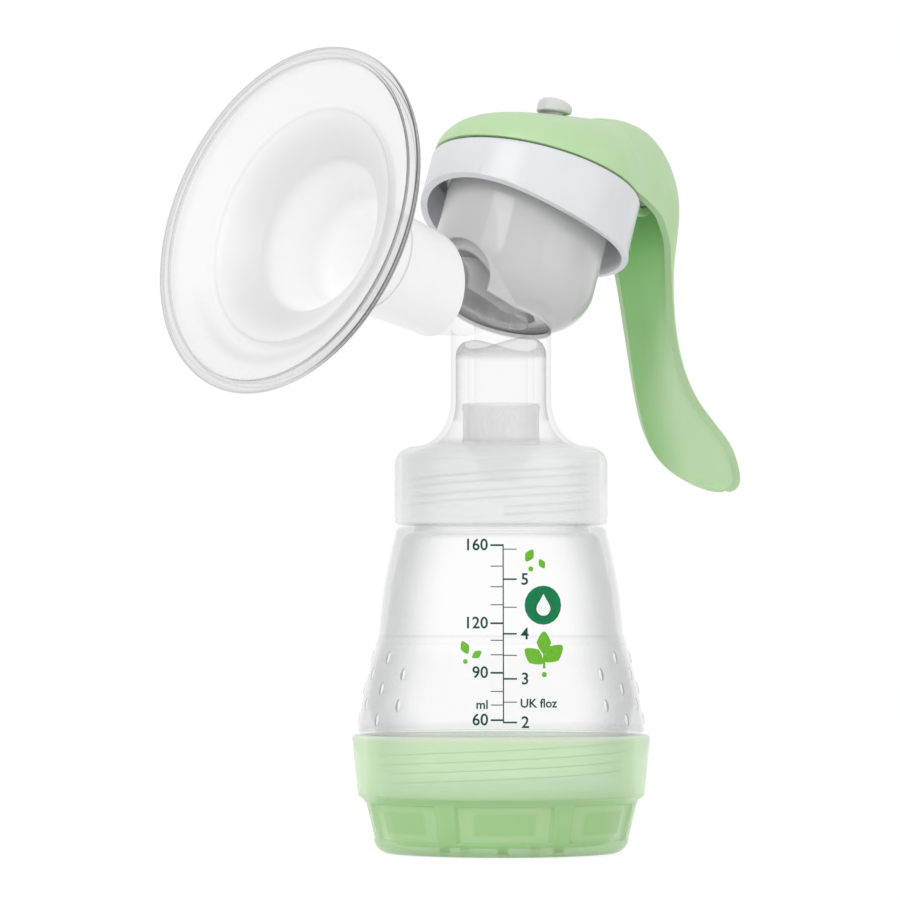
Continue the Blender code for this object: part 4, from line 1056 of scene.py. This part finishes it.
# ridge x and z, edge x and z, half width, arch power, in mm from the hinge
HANDLE_ROWS = [
    (-10.5, 19.0, -10.8, -1.1, 17.6, 1.0),
    (-2.4, 19.0, -4.8, -2.6, 14.6, 1.0),
    (5.0, 17.0, 0.2, -4.6, 12.7, 1.0),
    (11.2, 11.8, 3.2, -7.4, 11.3, 1.0),
    (14.5, 4.2, 5.3, -11.0, 10.6, 1.0),
    (13.8, -4.8, 6.3, -14.8, 9.9, 1.1),
    (12.0, -13.6, 7.1, -19.2, 9.3, 1.2),
    (12.6, -25.6, 8.4, -27.6, 8.7, 1.4),
    (14.4, -34.6, 10.1, -35.7, 8.6, 1.5),
    (16.2, -40.8, 12.2, -42.3, 9.2, 1.6),
    (18.8, -46.4, 15.1, -48.5, 10.4, 1.6),
    (22.0, -51.0, 18.8, -53.6, 12.2, 1.6),
    (26.3, -56.3, 23.3, -58.8, 13.5, 1.6),
    (29.7, -60.7, 27.0, -63.3, 12.4, 1.6),
    (33.1, -64.2, 31.0, -66.8, 9.6, 1.6),
    (35.3, -66.7, 33.8, -68.9, 6.2, 1.6),
    (36.2, -68.3, 35.3, -69.8, 3.0, 1.6),
]

FRONT_ROW = (-53.02, 12.20, -53.03, 12.15, 1.0, 1.0)
END_ROW = (36.45, -69.2, 36.2, -69.9, 1.0, 1.6)


def lever_rows():
    """Smooth rows down the lever, laid out as HANDLE_ROWS."""
    rows = []
    cap = RING_RADIUS - 0.2
    edge = RING_HEIGHT + GAP
    for share, full in CAP_ROWS:
        reach = cap * share
        crown = edge + (CROWN + math.tan(HEAD_TILT) * reach - edge) * full
        ridge, rim = ((HEAD_PLACE @ (Vector((reach, 0, height)) * MM)) / MM - Vector(HINGE)
                      for height in (crown, edge))
        rows.append((ridge.x, ridge.z, rim.x, rim.z, cap * math.sqrt(1 - share ** 2), 1.0))
    rows = flowing([FRONT_ROW] + rows + HANDLE_ROWS + [END_ROW], 5)
    for _ in range(3):
        rows = rows[:1] + [tuple((a + 2 * b + c) / 4 for a, b, c in zip(p, q, r))
                           for p, q, r in zip(rows, rows[1:], rows[2:])] + rows[-1:]
    return rows


def build_lever():
    """Hollow lever: a cap over the ring that runs down into a curved grip."""
    rows = lever_rows()
    across = 32
    lever = added(bpy.ops.mesh.primitive_grid_add, "lever_shell", x_subdivisions=across,
                  y_subdivisions=len(rows) - 1, size=1.0)
    for index, vert in enumerate(lever.data.vertices):
        ridge_x, ridge_z, rim_x, rim_z, half, power = rows[index // (across + 1)]
        turn = math.pi * (index % (across + 1)) / across
        ridge = Vector((ridge_x, 0, ridge_z))
        rim = Vector((rim_x, 0, rim_z))
        up = (ridge - rim).normalized()
        lift = (ridge - rim).length * max(math.sin(turn), 0.0) ** power
        point = rim + up * lift - Vector((0, half, 0)) * math.cos(turn)
        vert.co = (point + Vector(HINGE)) * MM
    reshape(lever, bpy.ops.mesh.normals_make_consistent, inside=False)
    crown = max(lever.data.polygons, key=lambda face: face.center.z)
    if crown.normal.z < 0:
        reshape(lever, bpy.ops.mesh.flip_normals)
    lever.data.materials.append(LEVER_GREEN)
    # the inner faces take the green with painted shade and painted light
    lever.data.materials.append(LEVER_INNER_SHADING)
    apply(lever, "SOLIDIFY", thickness=1.8 * MM, offset=-1.0, use_even_offset=False,
          material_offset=1)
    bevelled(lever, 0.55, 3, 50)
    slot = arc((0, 0), STEM_SLOT_RADIUS, -90, 90, 12)
    slot += arc((-5.6, 0), STEM_SLOT_RADIUS, 90, 270, 12)
    upright = HEAD_PLACE @ placed(0, 0, CROWN + 2)
    cut(lever, slab("stem_slot", slot, 10, upright @ ACROSS))
    settle(lever, angle=40)
    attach(lever, "lever")
    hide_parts("pump_lever")


def build_bearings():
    """Two plates inside the lever that turn on the cover's trunnions."""
    plates = []
    wide = 4.4
    outline = arc((0, 0), wide, 180, 360, 16) + [(wide, 12.2), (-wide, 15.2)]
    for side in (-1, 1):
        plate = slab(f"bearing_{side}", outline, 0.9, placed(HINGE[0], side * 5.8, HINGE[2]))
        cut(plate, pin("bearing_bore", TRUNNION_RADIUS + GAP, -8, 8, HINGE_PLACE))
        bevelled(plate, 0.25, 2, 40)
        plates.append(plate)
    dress(settle(joined("lever_bearings", plates)), LEVER_GREEN, "lever", "lever_green")


# --- studio ---

def seen_rays(tree, gloss):
    """1 for rays from the eye or through glass, and a share for reflections."""
    rays = node(tree, "ShaderNodeLightPath", {}, {})
    eye, mirrored, through = (Wire(tree, rays.outputs[f"Is {kind} Ray"])
                              for kind in ("Camera", "Glossy", "Transmission"))
    return (eye + through + mirrored * gloss).capped()


def studio_white(name, colour, keep, glow):
    """Pale matte surface that shows plain white to the eye but keeps a shadow."""
    floor = Finish(name, colour, 0.9)
    tree = floor.tree
    speck = floor.cloud(3.0, 2.0)
    floor.feed("Base Color", floor.mix(speck, colour, tuple(part * 0.98 for part in colour)))
    light = node(tree, "ShaderNodeEmission", {}, {"Color": (1, 1, 1, 1), "Strength": glow})
    mix = node(tree, "ShaderNodeMixShader", {}, {0: seen_rays(tree, 1.0) * keep})
    tree.links.new(floor.shader.outputs[0], mix.inputs[1])
    tree.links.new(light.outputs[0], mix.inputs[2])
    tree.links.new(mix.outputs[0], tree.nodes["Material Output"].inputs["Surface"])
    return floor.look


def build_studio():
    """Floor, world and soft lamps."""
    floor = added(bpy.ops.mesh.primitive_plane_add, "studio_floor", size=12.0,
                  location=(0, 0, -0.0002))
    floor.data.materials.append(studio_white("studio_floor_paint", grey(0.9), 0.8, 1.12))
    world = bpy.data.worlds.new("studio_world")
    bpy.context.scene.world = world
    world.use_nodes = True
    tree = world.node_tree
    strength = seen_rays(tree, 0.25) * 0.24 + 0.76    # white to the eye, softer as light
    tree.nodes["Background"].inputs["Color"].default_value = (1, 1, 1, 1)
    tree.links.new(strength.socket, tree.nodes["Background"].inputs["Strength"])
    soft_lamp("key_lamp", (-1.25, -0.30, 0.95), size=0.8, watts=6.8)
    soft_lamp("side_lamp", (0.35, -1.3, 0.25), size=0.9, watts=2.1)


def soft_lamp(name, place, size, watts):
    """Square soft lamp that faces the object's middle."""
    lamp = bpy.data.lights.new(name, "AREA")
    lamp.energy = watts
    lamp.size = size
    stand(name, lamp, place, Vector((0, 0, 0.1)) - Vector(place))


def stand(name, data, place, aim):
    """Put a lamp or the camera at a place, turned to look along a direction."""
    thing = bpy.data.objects.new(name, data)
    bpy.context.scene.collection.objects.link(thing)
    thing.location = place
    thing.rotation_euler = aim.to_track_quat("-Z", "Y").to_euler()
    return thing


def build_camera():
    """Long lens, a little below the middle's level, from between grip and funnel."""
    azimuth = math.radians(-44.0)
    rise = math.radians(-1.9)
    distance = 1.175
    back = Vector((math.sin(azimuth) * math.cos(rise), -math.cos(azimuth) * math.cos(rise),
                   math.sin(rise)))
    right = Vector((math.cos(azimuth), math.sin(azimuth), 0))
    target = right * -0.0120 + Vector((0, 0, 0.0944))
    lens = bpy.data.cameras.new("camera")
    lens.lens = 200
    lens.sensor_width = 36
    lens.clip_start = 0.05
    lens.clip_end = 50
    bpy.context.scene.camera = stand("camera", lens, target + back * distance, -back)


build_camera()
build_studio()
build_base()
build_disc()
build_bottle()
build_thread("neck_thread", THREAD_CLEAR, (78.8, 80.6), FACING, radius=NECK_RADIUS,
             proud=0.9, tall=0.7, lead=8.2, share=1.3)
build_thread("skirt_thread", SKIRT_THREAD, (16.8, 19.0), FACING + 2.2, radius=31.25,
             proud=0.27, tall=0.3, lead=8.7, share=0.9)
build_grip_drops()
build_print()
build_body()
build_valve()
build_funnel()
build_diaphragm()
build_stem()
build_cover()
build_lever()
build_bearings()
bpy.context.scene.view_settings.view_transform = "Standard"
bpy.context.scene.cycles.transparent_max_bounces = 40
